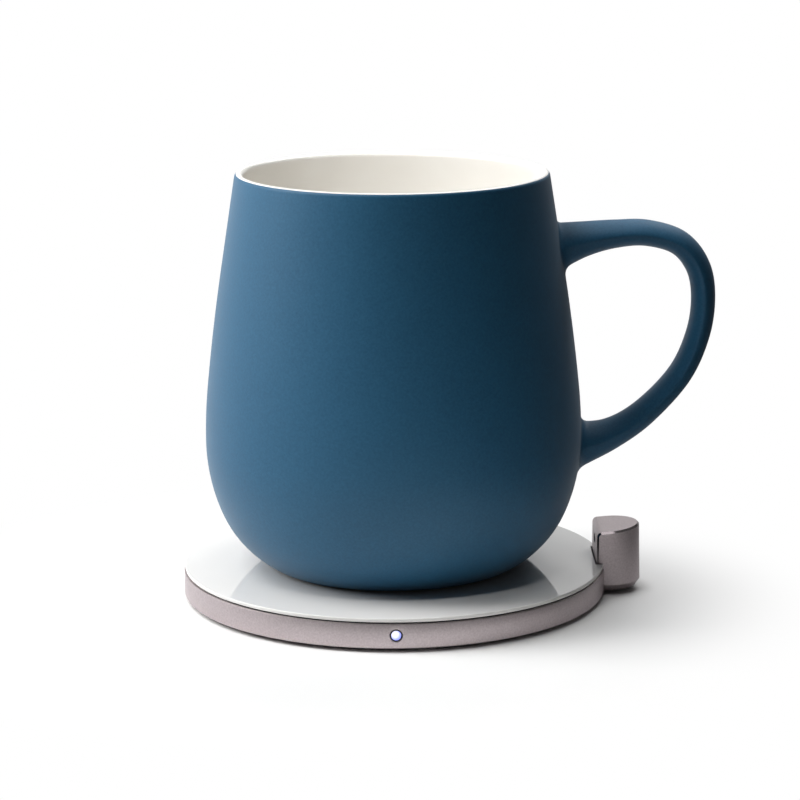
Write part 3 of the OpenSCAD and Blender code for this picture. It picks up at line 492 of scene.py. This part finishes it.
def rootFillet(angles, start, inward):
    # For each side line of the loft: its points from the wall up to the fillet's end, and where that is
    hits, lets, reaches = [], [], []
    for a in angles:
        upper = max(0, math.sin(a)) if inward < 0 else 0
        reach = handle["fillet"] + (handle["topFillet"] - handle["fillet"]) * upper
        s, stepBy = start, -inward * handle["wallStep"]
        while outside(handlePoint(s, a)) < 0:
            s += stepBy
        near, far = s - stepBy, s
        for _ in range(handle["halvings"]):
            middle = (near + far) / 2
            near, far = (middle, far) if outside(handlePoint(middle, a)) < 0 else (near, middle)
        hit = handlePoint(far, a)
        while (handlePoint(s, a) - hit).length < reach:
            s -= inward * handle["filletStep"]
        hits.append(hit)
        lets.append(s)
        reaches.append(reach)
    centre = sum(hits, Vector()) / len(hits)
    probe, count, least = handle["slopeReach"], handle["filletRows"], handle["standOff"]
    runs = []
    for k, a in enumerate(angles):
        hit = hits[k]
        edge = hits[(k + 1) % len(hits)] - hits[k - 1]
        slope = (wallRadius(hit.z + probe) - wallRadius(hit.z - probe)) / (2 * probe)
        normal = Vector((hit.x, hit.y, -slope * math.hypot(hit.x, hit.y))).normalized()
        away = edge.cross(normal).normalized()
        if away.dot(hit - centre) < 0:
            away.negate()
        foot = onWall(hit + away * reaches[k])
        top = handlePoint(lets[k], a)
        run = []
        for i in range(count):
            t = i / count
            p = foot * (1 - t) ** 2 + hit * 2 * t * (1 - t) + top * t * t
            if i and outside(p) < least:
                p += Vector((p.x, p.y, 0)).normalized() * (least - outside(p))
            run.append(p)
        runs.append(run)
    return runs, lets


def sewRoot(bm, ring, ownPoints):
    # Takes the wall's faces away round a root and fills the gap up to the ring where the root begins;
    # ownPoints are the handle's and stay
    def flat(co):  # the wall unrolled, in mm, rounded so that rows and columns are straight
        return Vector((round(math.atan2(co.y, co.x) * mug["bellyR"], 3), round(co.z / mm - mug["standsAt"], 3)))

    loop, margin = [flat(v.co) for v in ring], handle["seamMargin"]
    lo = Vector((min(p.x for p in loop) - margin, min(p.y for p in loop) - margin))
    hi = Vector((max(p.x for p in loop) + margin, max(p.y for p in loop) + margin))

    def within(v):
        p = flat(v.co)
        off = abs(math.hypot(v.co.x, v.co.y) / mm - wallRadius(p.y))
        return v not in ownPoints and lo.x < p.x < hi.x and lo.y < p.y < hi.y and off < handle["wallNear"]

    inner = [v for v in bm.verts if v.co.x > 0 and v.link_faces and within(v)]
    patch = {f for v in inner for f in v.link_faces}
    border = {v for f in patch for v in f.verts} - set(inner)
    edges = {e for f in patch for e in f.edges if set(e.verts) <= border and len(set(e.link_faces) & patch) == 1}

    def inLoop(p):
        found = False
        for i, q in enumerate(loop):
            o = loop[i - 1]
            if (q.y > p.y) != (o.y > p.y) and p.x < (o.x - q.x) * (p.y - q.y) / (o.y - q.y) + q.x:
                found = not found
        return found

    def clear(p):  # well outside the loop
        if inLoop(p):
            return False
        for i, q in enumerate(loop):
            share = intersect_point_line(p, loop[i - 1], q)[1]
            near = loop[i - 1].lerp(q, min(max(share, 0), 1))
            if (p - near).length < handle["seamClear"]:
                return False
        return True

    kept = [v.co.copy() for v in inner if clear(flat(v.co))]
    bmesh.ops.delete(bm, geom=inner, context="VERTS")
    points = list(border) + list(ring) + [bm.verts.new(co) for co in kept]
    number = {v: i for i, v in enumerate(points)}
    lines = [(number[e.verts[0]], number[e.verts[1]]) for e in edges]
    lines += [(number[ring[i - 1]], number[ring[i]]) for i in range(len(ring))]
    places, _, faces, sources = delaunay_2d_cdt([flat(v.co) for v in points], lines, [], 0, 1e-5)[:4]
    for face in faces:
        middle = sum((places[i] for i in face), Vector((0, 0))) / len(face)
        if not inLoop(middle):
            bm.faces.new([points[sources[i][0]] for i in face]).material_index = blueIndex


profile, changes = mugProfile()
body = turn("mugShell", profile, mug["steps"], [bisque, blueGlaze, clearGlaze], changes)
blueIndex = list(body.materials).index(blueGlaze)
bm = bmesh.new()
bm.from_mesh(body)
bm.transform(Matrix.Translation(metres(0, 0, mug["standsAt"])))
angles = [math.tau * k / handle["sides"] for k in range(handle["sides"])]
upperRuns, upperLets = rootFillet(angles, 0.0, -1)
lowerRuns, lowerLets = rootFillet(angles, float(lastStation), 1)
filletRows = range(handle["filletRows"])
rows = [[run[i] for run in upperRuns] for i in filletRows]
for i in range(handle["rows"] + 1):
    t = i / handle["rows"]
    rows.append([handlePoint(upperLets[k] * (1 - t) + lowerLets[k] * t, a) for k, a in enumerate(angles)])
rows += [[run[i] for run in lowerRuns] for i in reversed(filletRows)]
rings = [[bm.verts.new((p + Vector((0, 0, mug["standsAt"]))) * mm) for p in row] for row in rows]
skin(bm, rings, blueIndex)
handlePoints = {v for ring in rings for v in ring}
sewRoot(bm, rings[0], handlePoints)
sewRoot(bm, rings[-1], handlePoints)
mugMesh = meshFromBm("mugShell", bm, mug["sharp"], *body.materials)
bpy.data.meshes.remove(body)
addPiece("mugShell", mugMesh, "mug", "mug_ceramic", "mug_body", "handle")
print("mug turned and handle sewn in:", len(mugMesh.polygons), "faces")


# The pad: a turned metal ring, and glass with its bite for the post

pad = {
    "r": 55.0, "ringLow": 1.1, "ringTop": 7.3, "wall": 2.0, "edge": 0.25, "edgeMiddle": 0.3,
    "shelf": 2.5, "shelfThick": 1.0, "steps": 256, "sharp": 30,
    "glassLow": 7.7, "glassTop": 8.6, "glassR": 54.8, "glassEdge": 0.25, "glassBreak": 0.06, "glassSharp": 50,
    "edgeSteps": 6, "biteX": 52.4, "biteY": (-7.4, 10.2),  # room round the post
    "backSteps": 8, "sideSteps": 4,
    "lightZ": 4.4, "lightHole": 3.3, "holeSteps": 48, "inletZ": 4.33, "inletWide": 9.14, "inletHigh": 3.46,
    # How far inside the ring, or below the floor, each cut starts, and how long it is
    "biteCut": (5, 20), "lightCut": (5, 8), "inletCut": (8, 12),
}


def cutter(name, outline, depth, matrix):  # a prism of an outline in mm, along its own Z
    bm = bmesh.new()
    low, top = ([bm.verts.new(metres(x, y, z)) for x, y in outline] for z in (0, depth))
    bm.faces.new(low[::-1])
    bm.faces.new(top)
    skin(bm, [low, top])
    bmesh.ops.recalc_face_normals(bm, faces=bm.faces)
    mesh = plainMesh(name, bm)
    mesh.transform(matrix)
    return addObject(name, mesh)


def cutAway(mesh, tools):
    carrier = addObject("cutCarrier", mesh)
    for tool in tools:
        modifier = carrier.modifiers.new("cut", "BOOLEAN")
        modifier.operation, modifier.solver, modifier.object = "DIFFERENCE", "EXACT", tool
    cut = applied(carrier)
    cut.name = mesh.name
    for tool in tools:
        bpy.data.objects.remove(tool)
    return cut


def slotOutline(wide, high, steps=12):
    half, r = (wide - high) / 2, high / 2
    right = [(half + r * math.cos(a), r * math.sin(a)) for a in
             (-math.pi / 2 + math.pi * i / steps for i in range(steps + 1))]
    return right + [(-x, -y) for x, y in right]


def standing(x, y, z, towards):  # places a prism so that it runs along the direction given
    turned = Vector(towards).to_track_quat("Z", "Y").to_matrix().to_4x4()
    return Matrix.Translation(metres(x, y, z)) @ turned


def ringMesh():
    r, e, low, top = pad["r"], pad["edge"], pad["ringLow"], pad["ringTop"]
    inner, shelf, under = r - pad["wall"], r - pad["wall"] - pad["shelf"], top - pad["shelfThick"]
    c = e * pad["edgeMiddle"]
    section = [(inner, low), (r - e, low), (r - c, low + c), (r, low + e), (r, top - e), (r - c, top - c),
               (r - e, top), (shelf, top), (shelf, under), (inner, under), (inner, low)]
    mesh = facesOut(turn("rimRing", section, pad["steps"], [anodised]))
    (biteIn, biteLong), (lightIn, lightLong), (inletIn, inletLong) = pad["biteCut"], pad["lightCut"], pad["inletCut"]
    (y0, y1), outX = pad["biteY"], r + biteIn
    bite = [(pad["biteX"], y0), (outX, y0), (outX, y1), (pad["biteX"], y1)]
    turns = [math.tau * i / pad["holeSteps"] for i in range(pad["holeSteps"])]
    circle = [(pad["lightHole"] / 2 * math.cos(a), pad["lightHole"] / 2 * math.sin(a)) for a in turns]
    slot = slotOutline(pad["inletWide"], pad["inletHigh"])
    tools = [cutter("bite", bite, biteLong, Matrix.Translation(metres(0, 0, -biteIn))),
             cutter("lightHole", circle, lightLong, standing(0, lightIn - r, pad["lightZ"], (0, -1, 0))),
             cutter("inletHole", slot, inletLong, standing(0, r - inletIn, pad["inletZ"], (0, 1, 0)))]
    return smooth(cutAway(mesh, tools), pad["sharp"])


def glassOutline(inset):
    r, x = pad["glassR"] - inset, pad["biteX"] - inset
    y0, y1 = pad["biteY"][0] - inset, pad["biteY"][1] + inset
    a0, a1 = math.asin(y1 / r), math.tau + math.asin(y0 / r)
    turns = [a0 + (a1 - a0) * i / pad["steps"] for i in range(pad["steps"] + 1)]
    rim = [(r * math.cos(a), r * math.sin(a)) for a in turns]

    def side(y):
        count = pad["sideSteps"]
        return [(x + (math.sqrt(r * r - y * y) - x) * i / count, y) for i in range(count)]

    back = [(x, y0 + (y1 - y0) * i / pad["backSteps"]) for i in range(1, pad["backSteps"])]
    return rim + side(y0)[::-1] + back + side(y1)


def glassMesh():
    low, top, e, b = pad["glassLow"], pad["glassTop"], pad["glassEdge"], pad["glassBreak"]
    turns = [math.pi / 2 * i / pad["edgeSteps"] for i in range(1, pad["edgeSteps"] + 1)]
    levels = [(b, low), (0.0, low + b), (0.0, top - e)]
    levels += [(e - e * math.cos(a), top - e + e * math.sin(a)) for a in turns]
    bm = bmesh.new()
    rings = [[bm.verts.new(metres(x, y, z)) for x, y in glassOutline(inset)] for inset, z in levels]
    skin(bm, rings)
    bm.faces.new(rings[0][::-1])
    bm.faces.new(rings[-1])
    mesh = meshFromBm("glassTop", bm, pad["glassSharp"], glassWhite)
    for face in mesh.polygons[-2:]:  # flat right to the edge, so that they mirror truly
        face.use_smooth = False
    return mesh


addPiece("rimRing", ringMesh(), "warming_pad", "anodised_aluminium", "rim_ring")
addPiece("glassTop", glassMesh(), "warming_pad", "white_glass", "glass_top")
print("ring and glass made")


# The indicator at the front: a milky lens in a dark collar, turned and then laid along -Y

light = {
    "lensR": 1.2, "collarIn": 1.25, "collarOut": 1.55, "depth": 2.0, "tail": 2.0, "dome": 0.16, "lip": 0.08,
    "steps": 64, "domeSteps": 8, "sharp": 35,
    "paintedHighlight": (-0.35, 0.45), "glow": (0.2, 1.7),  # the painted highlight's place in mm right and up of the middle, and where the glow turns blue
}


def litLens():
    # Milky acrylic light guide, lit from behind by its LED and bluer to the rim; the hot spot up and left of its
    # middle is a painted highlight put into the glow
    material, tree, shader, place = startMaterial(
        "acrylicLightGuide", **{"Roughness": 0.12, "IOR": 1.49, "Emission Strength": 0.85})
    (highlightX, highlightZ), (near, far) = light["paintedHighlight"], light["glow"]
    spot = metres(highlightX, -pad["r"], pad["lightZ"] + highlightZ)
    reach = addNode(tree, "ShaderNodeVectorMath", {1: spot}, {0: place}, operation="DISTANCE")
    fade = addNode(tree, "ShaderNodeMapRange", {"From Min": near * mm, "From Max": far * mm},
                   {"Value": reach.outputs["Value"]}, interpolation_type="SMOOTHSTEP")
    glow = addNode(tree, "ShaderNodeMix", {6: linear("#f1f3ff"), 7: linear("#8f99f6")},
                   {0: fade.outputs[0]}, data_type="RGBA")
    tree.links.new(glow.outputs[2], shader.inputs["Emission Color"])
    tree.links.new(glow.outputs[2], shader.inputs["Base Color"])
    return material


def layForward(mesh):
    place = Matrix.Translation(metres(0, -pad["r"], pad["lightZ"]))
    mesh.transform(place @ Matrix.Rotation(math.radians(90), 4, "X"))
    return smooth(facesOut(mesh), light["sharp"])


inner, outer, lip, back = light["collarIn"], light["collarOut"], light["lip"], -light["depth"]
collarProfile = [(inner, back), (outer, back), (outer, -lip), (outer - lip, 0),
                 (inner + lip, 0), (inner, -lip), (inner, back)]
lensR, dome, end = light["lensR"], light["dome"], back - light["tail"]
turns = [math.pi / 2 * i / light["domeSteps"] for i in range(light["domeSteps"])]
lensProfile = [(0, end), (lensR, end)] + [(lensR * math.cos(a), dome * (math.sin(a) - 1)) for a in turns] + [(0, 0)]
lensGlow = litLens()
nodes["indicator_lens"].data.materials[0] = lensGlow
addPiece("lensCollar", layForward(turn("lensCollar", collarProfile, light["steps"], [blackPlastic])),
         "warming_pad", "black_plastic", "lens_collar")
addPiece("indicatorLens", layForward(turn("indicatorLens", lensProfile, light["steps"], [lensGlow])),
         "warming_pad", "indicator_lens", "indicator_lens")
print("indicator made")


# The sensor post: a D in plan, a sloping top, and one bright cut edge round its top and flat

post = {
    "x": 52.7, "side": 1.4, "r": 8.5, "straight": 3.1, "low": 1.1, "cornerZ": 16.8, "slope": 5.0,
    "round": 1.3, "edge": 0.5, "footIn": 1.2, "footUp": 1.7, "draft": 1.2, "sharp": 25,
    "across": 10, "roundSteps": 12, "topSteps": 3, "backSteps": 40,
    "rows": (12.0, 9.0, 6.0),  # heights where the flat and the walls are cut into rows
    "windowZ": 13.25, "windowWide": 4.4, "windowHigh": 2.3, "windowDeep": 1.0,
}


def postMesh():
    x0, r, e, slope = post["x"], post["r"], post["edge"], math.radians(post["slope"])
    midX, side, low = post["x"] + post["straight"], post["side"], post["low"]
    reach = post["round"] / math.tan(math.pi / 4 + slope / 2)
    bend = Vector((x0 + post["round"], post["cornerZ"] - reach))  # centre of the round between flat and top
    footZ = low + post["footUp"]
    face = []  # rows of the flat and the top: x, z, half width of the body there, and the surface's normal
    for z in (low, footZ, *post["rows"][::-1], bend.y):
        face.append((x0, z, r if z > low else r - post["footIn"], Vector((-1, 0))))
    frontRow = len(face) - 1  # the last row of the flat before the round
    for i in range(1, post["roundSteps"] + 1):
        a = math.pi - (math.pi / 2 - slope) * i / post["roundSteps"]
        n = Vector((math.cos(a), math.sin(a)))
        p = bend + n * post["round"]
        face.append((p.x, p.y, r, n))
    up = Vector((-math.sin(slope), math.cos(slope)))

    def topZ(x):
        return post["cornerZ"] + (x - x0) * math.tan(slope)

    start = face[-1][0]
    for i in range(1, post["topSteps"] + 1):
        x = start + (midX - start) * i / post["topSteps"]
        face.append((x, topZ(x), r, up))
    for i in range(1, post["backSteps"] + 1):
        a = math.pi / 2 * (1 - i / post["backSteps"])
        face.append((midX + r * math.cos(a), topZ(midX + r * math.cos(a)), r * math.sin(a), up))
    bm = bmesh.new()

    def vert(x, y, z):
        return bm.verts.new(metres(x, y, z))

    def wallNormal(x, half):
        return Vector((x - midX, half)).normalized() if x > midX else Vector((0, 1))

    grid, edgeRows = [], []
    last, across = len(face) - 1, post["across"]
    for i, (x, z, half, n) in enumerate(face):
        w = wallNormal(x, half)
        inX, inHalf = x - e * w.x, half - e * w.y
        inZ = z - (e * w.x) * math.tan(slope) if x > midX else z
        if i == last:
            grid.append([vert(inX, side, inZ)] * (across + 1))
        else:
            grid.append([vert(inX, side + inHalf * (2 * k / across - 1), inZ) for k in range(across + 1)])
        outX, outZ = (x - e * n.x, z - e * n.y) if x <= midX else (x, z - e)
        edgeRows.append((outX, half, outZ))

    def addFace(vertices, index):
        unique = [v for i, v in enumerate(vertices) if v not in vertices[:i]]
        if len(unique) > 2:
            bm.faces.new(unique).material_index = index

    for a, b in zip(grid, grid[1:]):
        for k in range(across):
            addFace([a[k], a[k + 1], b[k + 1], b[k]], 0)
    rims = {sign: [vert(x, side + sign * half, z) for x, half, z in edgeRows[:-1]] for sign in (-1, 1)}
    tipRim = vert(edgeRows[-1][0], side, edgeRows[-1][2])
    for sign, column in ((-1, 0), (1, across)):
        rim = rims[sign] + [tipRim]
        for i in range(last):
            addFace([grid[i][column], grid[i + 1][column], rim[i + 1], rim[i]], 1)
    # Walls hang from the rim; the flat's own rows are the first upright
    rimLoop = rims[-1][frontRow:] + [tipRim] + rims[1][frontRow:][::-1]
    spec = [(*edgeRows[i], -1) for i in range(frontRow, last)] + [(*edgeRows[last], 0)]
    spec += [(*edgeRows[i], 1) for i in range(last - 1, frontRow - 1, -1)]
    lean, footIn = math.tan(math.radians(post["draft"])), post["footIn"]
    wallRings = [rimLoop]
    for level in (*post["rows"], footZ):
        wallRings.append([vert(x + (z - level) * lean * wallNormal(x, half).x, side + sign * half, level)
                          for x, half, z, sign in spec])
    base = []
    for x, half, z, sign in spec:
        w = wallNormal(x, half)
        base.append(vert(x + ((z - footZ) * lean - footIn) * w.x, side + sign * (half - footIn * w.y), low))
    wallRings.append(base)
    for upper, lower in zip(wallRings, wallRings[1:]):
        for k in range(len(upper) - 1):
            addFace([upper[k], upper[k + 1], lower[k + 1], lower[k]], 0)
    bmesh.ops.remove_doubles(bm, verts=bm.verts, dist=0.001 * mm)
    openEdges = [edge for edge in bm.edges if len(edge.link_faces) == 1]
    bmesh.ops.holes_fill(bm, edges=openEdges, sides=0)
    solid = meshFromBm("postHousing", bm, post["sharp"], anodised, diamondCut)
    slot = cutter("window", slotOutline(post["windowWide"], post["windowHigh"]), post["windowDeep"] * 2,
                  standing(post["x"] - post["windowDeep"], side, post["windowZ"], (1, 0, 0)))
    cut = cutAway(solid, [slot])
    cut.set_sharp_from_angle(angle=math.radians(post["sharp"]))
    return cut


addPiece("postHousing", postMesh(), "warming_pad", "anodised_aluminium", "post_housing")
print("post made")


# Contacts on the inlet's tongue, repeated by a node tree

contacts = {
    "count": 12, "pitch": 0.5, "wide": 0.26, "long": 3.2, "thick": 0.03, "bevel": 0.02, "endY": 53.1,
    "tongueThick": 0.7, "sharp": 40,
}


def contactTree():
    tree, sockets, given = startTree("contactRow", "Row", {
        "Contact": "Geometry", "Count": "Int", "Start": "Vector", "Pitch": "Vector", "Finish": "Material"})
    line = addNode(tree, "GeometryNodeMeshLine",
                   links={"Count": given["Count"], "Start Location": given["Start"], "Offset": given["Pitch"]})
    copies = addNode(tree, "GeometryNodeInstanceOnPoints",
                     links={"Points": line.outputs[0], "Instance": given["Contact"]})
    real = addNode(tree, "GeometryNodeRealizeInstances", links={"Geometry": copies.outputs[0]})
    done = addNode(tree, "GeometryNodeSetMaterial", links={"Geometry": real.outputs[0], "Material": given["Finish"]})
    addNode(tree, "NodeGroupOutput", links={0: done.outputs[0]})
    return tree, sockets


def contactMesh():
    bm = bmesh.new()
    bmesh.ops.create_cube(bm, size=1)
    size = metres(contacts["wide"], contacts["long"], contacts["thick"])
    bmesh.ops.scale(bm, vec=size, verts=bm.verts)
    top = [edge for edge in bm.edges if all(v.co.z > 0 for v in edge.verts)]
    bmesh.ops.bevel(bm, geom=top, offset=contacts["bevel"] * mm, segments=2, affect="EDGES")
    return plainMesh("contact", bm)


startX = -(contacts["count"] - 1) / 2 * contacts["pitch"]
startY = contacts["endY"] - contacts["long"] / 2
startZ = pad["inletZ"] + contacts["tongueThick"] / 2 + contacts["thick"] / 2
values = [contacts["count"], metres(startX, startY, startZ), metres(contacts["pitch"], 0, 0), gold]
upperRow = runTree("upperContacts", contactMesh(), *contactTree(), values)
bm = bmesh.new()
bm.from_mesh(upperRow)
mirrored = bmesh.ops.duplicate(bm, geom=bm.faces[:] + bm.edges[:] + bm.verts[:])["geom"]
for v in mirrored:
    if isinstance(v, bmesh.types.BMVert):
        v.co.z = 2 * pad["inletZ"] * mm - v.co.z
bpy.data.meshes.remove(upperRow)
contactRows = meshFromBm("inletContacts", bm, contacts["sharp"], gold)
addPiece("inletContacts", contactRows, "warming_pad", "inlet_steel")
print("inlet contacts made")


# Camera, floor and light

camera = {
    "lens": 126.0, "sensor": 36.0, "near": 0.01, "far": 50.0,
    "x": 1.7, "y": -708.95, "z": 208.57, "pitch": 12.525, "roll": -0.2955, "around": -0.5,
}
cameraData = bpy.data.cameras.new("camera")
cameraData.lens, cameraData.sensor_width = camera["lens"], camera["sensor"]
cameraData.clip_start, cameraData.clip_end = camera["near"], camera["far"]
cameraObject = addObject("camera", cameraData)
cameraObject.matrix_world = (
    Matrix.Rotation(math.radians(camera["around"]), 4, "Z")
    @ Matrix.Translation(metres(camera["x"], camera["y"], camera["z"]))
    @ Matrix.Rotation(math.radians(90 - camera["pitch"]), 4, "X")
    @ Matrix.Rotation(math.radians(camera["roll"]), 4, "Z"))
scene.camera = cameraObject

studio = {
    # paintedShadeTone is painted shade: the grey that mirrored and bounced rays find where the paper is dull
    "floorSize": 3.0, "floorTones": ("#f2f2f1", "#f4f4f3"), "paintedShadeTone": "#505050", "fibre": 30,
    # Ramps on the floor by x or by the distance from a middle, in metres: the paper clears to white round the
    # shadow and the dark line under pad and post; the object sees it dull far off and on the shadow's side
    "middles": {"fromShadow": (-0.012, -0.008, 0.0), "fromPad": (0.0, 0.0, 0.0), "fromPost": (0.0558, 0.0014, 0.0)},
    "ramps": {"fade": ("fromShadow", 0.05, 0.125), "padLine": ("fromPad", 0.0545, 0.058),
              "postLine": ("fromPost", 0.0078, 0.0135), "far": ("fromShadow", 0.16, 0.32),
              "unlit": ("across", -0.25, -0.05), "shade": ("across", 0.025, 0.13)},
    # The world's bright sheet, its upper edge and a dim ceiling, with the levels at a ramp's two ends
    "sheetAt": (-0.402, 0.904, 0.151),
    "skyRamps": {"sheet": ("facing", 0.4, 0.9, 0.0, 1.0), "edge": ("height", 0.25, 0.55, 1.0, 0.25),
                 "ceiling": ("height", 0.25, 0.5, 0.0, 0.14)},
    "room": 0.035,
    # Soft boxes: degrees round from the front towards the left, degrees up, watts, metres across
    "boxes": {"keyHigh": (90, 60, 7.2, 0.5), "keyLow": (90, 30, 8.0, 0.5), "top": (0, 85, 2.0, 0.5),
              "backRight": (-150, 50, 3.0, 0.5)},
    "boxReach": 1.1, "boxAim": (0, 0, 0.05),
    # Snooted lamps for the cup's far wall and the pad's front: degrees round and up, aim and the beam's
    # radius in mm, watts, the lamp's own radius in metres
    "snoots": {"cup": (20, 45, (0, 38, 101), 38, 22.0, 0.03), "padFront": (10, 68, (6, -45, 9), 40, 7.0, 0.03)},
    "snootReach": 800,
}


def floorMaterial():
    # Matt white paper: takes the shadow near the object and clears to white away from it; mirrored and bounced rays
    # find a grey of painted shade far off and on the shadow's side
    material, tree, shader, place = startMaterial("paperSweepWhite", **{"Roughness": 0.9, "Specular IOR Level": 0.1})
    fibre = addNode(tree, "ShaderNodeTexNoise", {"Scale": grain(studio["fibre"]), "Detail": 1.0}, {"Vector": place})
    tone = addNode(tree, "ShaderNodeMix", dict(zip((6, 7), map(linear, studio["floorTones"]))),
                   {0: fibre.outputs["Fac"]}, data_type="RGBA")
    levels = dict(addNode(tree, "ShaderNodeLightPath").outputs.items())
    levels["across"] = addNode(tree, "ShaderNodeSeparateXYZ", {}, {0: place}).outputs["X"]
    for label, centre in studio["middles"].items():
        levels[label] = addNode(tree, "ShaderNodeVectorMath", {1: centre}, {0: place},
                                operation="DISTANCE").outputs["Value"]
    for label, (source, start, end) in studio["ramps"].items():
        levels[label] = addNode(tree, "ShaderNodeMapRange", {"From Min": start, "From Max": end},
                                {"Value": levels[source]}, interpolation_type="SMOOTHSTEP").outputs[0]
    for label, how, *sources in (  # each level from two others, or from 1 where none is named
            ("away", "MULTIPLY", "far", "unlit"), ("dull", "MAXIMUM", "away", "shade"),
            ("lit", "SUBTRACT", None, "dull"), ("direct", "MAXIMUM", "Is Camera Ray", "Is Transmission Ray"),
            ("paper", "MAXIMUM", "direct", "lit"), ("mirrored", "MULTIPLY", "Is Glossy Ray", "lit"),
            ("shown", "MAXIMUM", "direct", "mirrored"), ("round", "MULTIPLY", "fade", "shown"),
            ("pastPad", "MULTIPLY", "round", "padLine"), ("white", "MULTIPLY", "pastPad", "postLine")):
        links = {i: levels[other] for i, other in enumerate(sources) if other}
        levels[label] = addNode(tree, "ShaderNodeMath", {0: 1.0}, links, operation=how).outputs[0]
    # Painted shade: rays other than the camera's find the paper grey where it is dull
    seenTone = addNode(tree, "ShaderNodeMix", {6: linear(studio["paintedShadeTone"])},
                       {0: levels["paper"], 7: tone.outputs[2]}, data_type="RGBA")
    tree.links.new(seenTone.outputs[2], shader.inputs["Base Color"])
    white = addNode(tree, "ShaderNodeEmission", {"Color": (1, 1, 1, 1), "Strength": 1.0})
    mixed = addNode(tree, "ShaderNodeMixShader", {}, {0: levels["white"], 1: shader.outputs[0], 2: white.outputs[0]})
    tree.links.new(mixed.outputs[0], tree.nodes["Material Output"].inputs["Surface"])
    return material


bm = bmesh.new()
bmesh.ops.create_grid(bm, x_segments=8, y_segments=8, size=studio["floorSize"] / 2)
floorMesh = plainMesh("floor", bm)
floorMesh.materials.append(floorMaterial())
floor = addObject("floor", floorMesh)

world = bpy.data.worlds.new("studio")
scene.world = world
world.use_nodes = True
tree = world.node_tree
tree.nodes.clear()
direction = addNode(tree, "ShaderNodeTexCoord").outputs["Generated"]
levels = dict(addNode(tree, "ShaderNodeLightPath").outputs.items())
levels["facing"] = addNode(tree, "ShaderNodeVectorMath", {1: studio["sheetAt"]}, {0: direction},
                           operation="DOT_PRODUCT").outputs["Value"]
levels["height"] = addNode(tree, "ShaderNodeSeparateXYZ", {}, {0: direction}).outputs["Z"]
# Metal and glaze mirror the sheet and the ceiling; the dim room lights but is not mirrored
for label, (source, start, end, first, last) in studio["skyRamps"].items():
    span = {"From Min": start, "From Max": end, "To Min": first, "To Max": last}
    levels[label] = addNode(tree, "ShaderNodeMapRange", span, {"Value": levels[source]},
                            interpolation_type="SMOOTHSTEP").outputs[0]
for label, how, *sources in (
        ("backdrop", "MULTIPLY", "sheet", "edge"), ("mirrored", "MAXIMUM", "backdrop", "ceiling"),
        ("direct", "MAXIMUM", "Is Camera Ray", "Is Transmission Ray")):
    links = {i: levels[other] for i, other in enumerate(sources)}
    levels[label] = addNode(tree, "ShaderNodeMath", links=links, operation=how).outputs[0]
room = addNode(tree, "ShaderNodeMath", {1: studio["room"]}, {0: levels["sheet"]}, operation="MAXIMUM")
glossy = addNode(tree, "ShaderNodeMix", {}, {0: levels["Is Glossy Ray"], 2: room.outputs[0], 3: levels["mirrored"]})
strength = addNode(tree, "ShaderNodeMix", {3: 1.0}, {0: levels["direct"], 2: glossy.outputs[0]})
sky = addNode(tree, "ShaderNodeBackground", {"Color": (1, 1, 1, 1)}, {"Strength": strength.outputs[0]})
addNode(tree, "ShaderNodeOutputWorld", links={0: sky.outputs[0]})


def addLamp(name, kind, around, up, reach, aim, power):
    lamp = addObject(name, bpy.data.lights.new(name, kind))
    lamp.data.energy = power
    a, e = math.radians(around), math.radians(up)
    away = Vector((-math.sin(a) * math.cos(e), -math.cos(a) * math.cos(e), math.sin(e))) * reach
    lamp.location = Vector(aim) + away
    lamp.rotation_euler = (-away).to_track_quat("-Z", "Y").to_euler()
    return lamp.data


for name, (around, up, power, size) in studio["boxes"].items():
    addLamp(name, "AREA", around, up, studio["boxReach"], studio["boxAim"], power).size = size
for name, (around, up, aim, spread, power, soft) in studio["snoots"].items():
    beam = addLamp(name, "SPOT", around, up, studio["snootReach"] * mm, Vector(aim) * mm, power)
    beam.spot_size, beam.spot_blend = 2 * math.atan(spread / studio["snootReach"]), 1.0
    beam.shadow_soft_size = soft
    bpy.data.objects[name].visible_glossy = False  # its image would stand in the glaze

scene.view_settings.view_transform = "Standard"
print("camera, floor and light set")
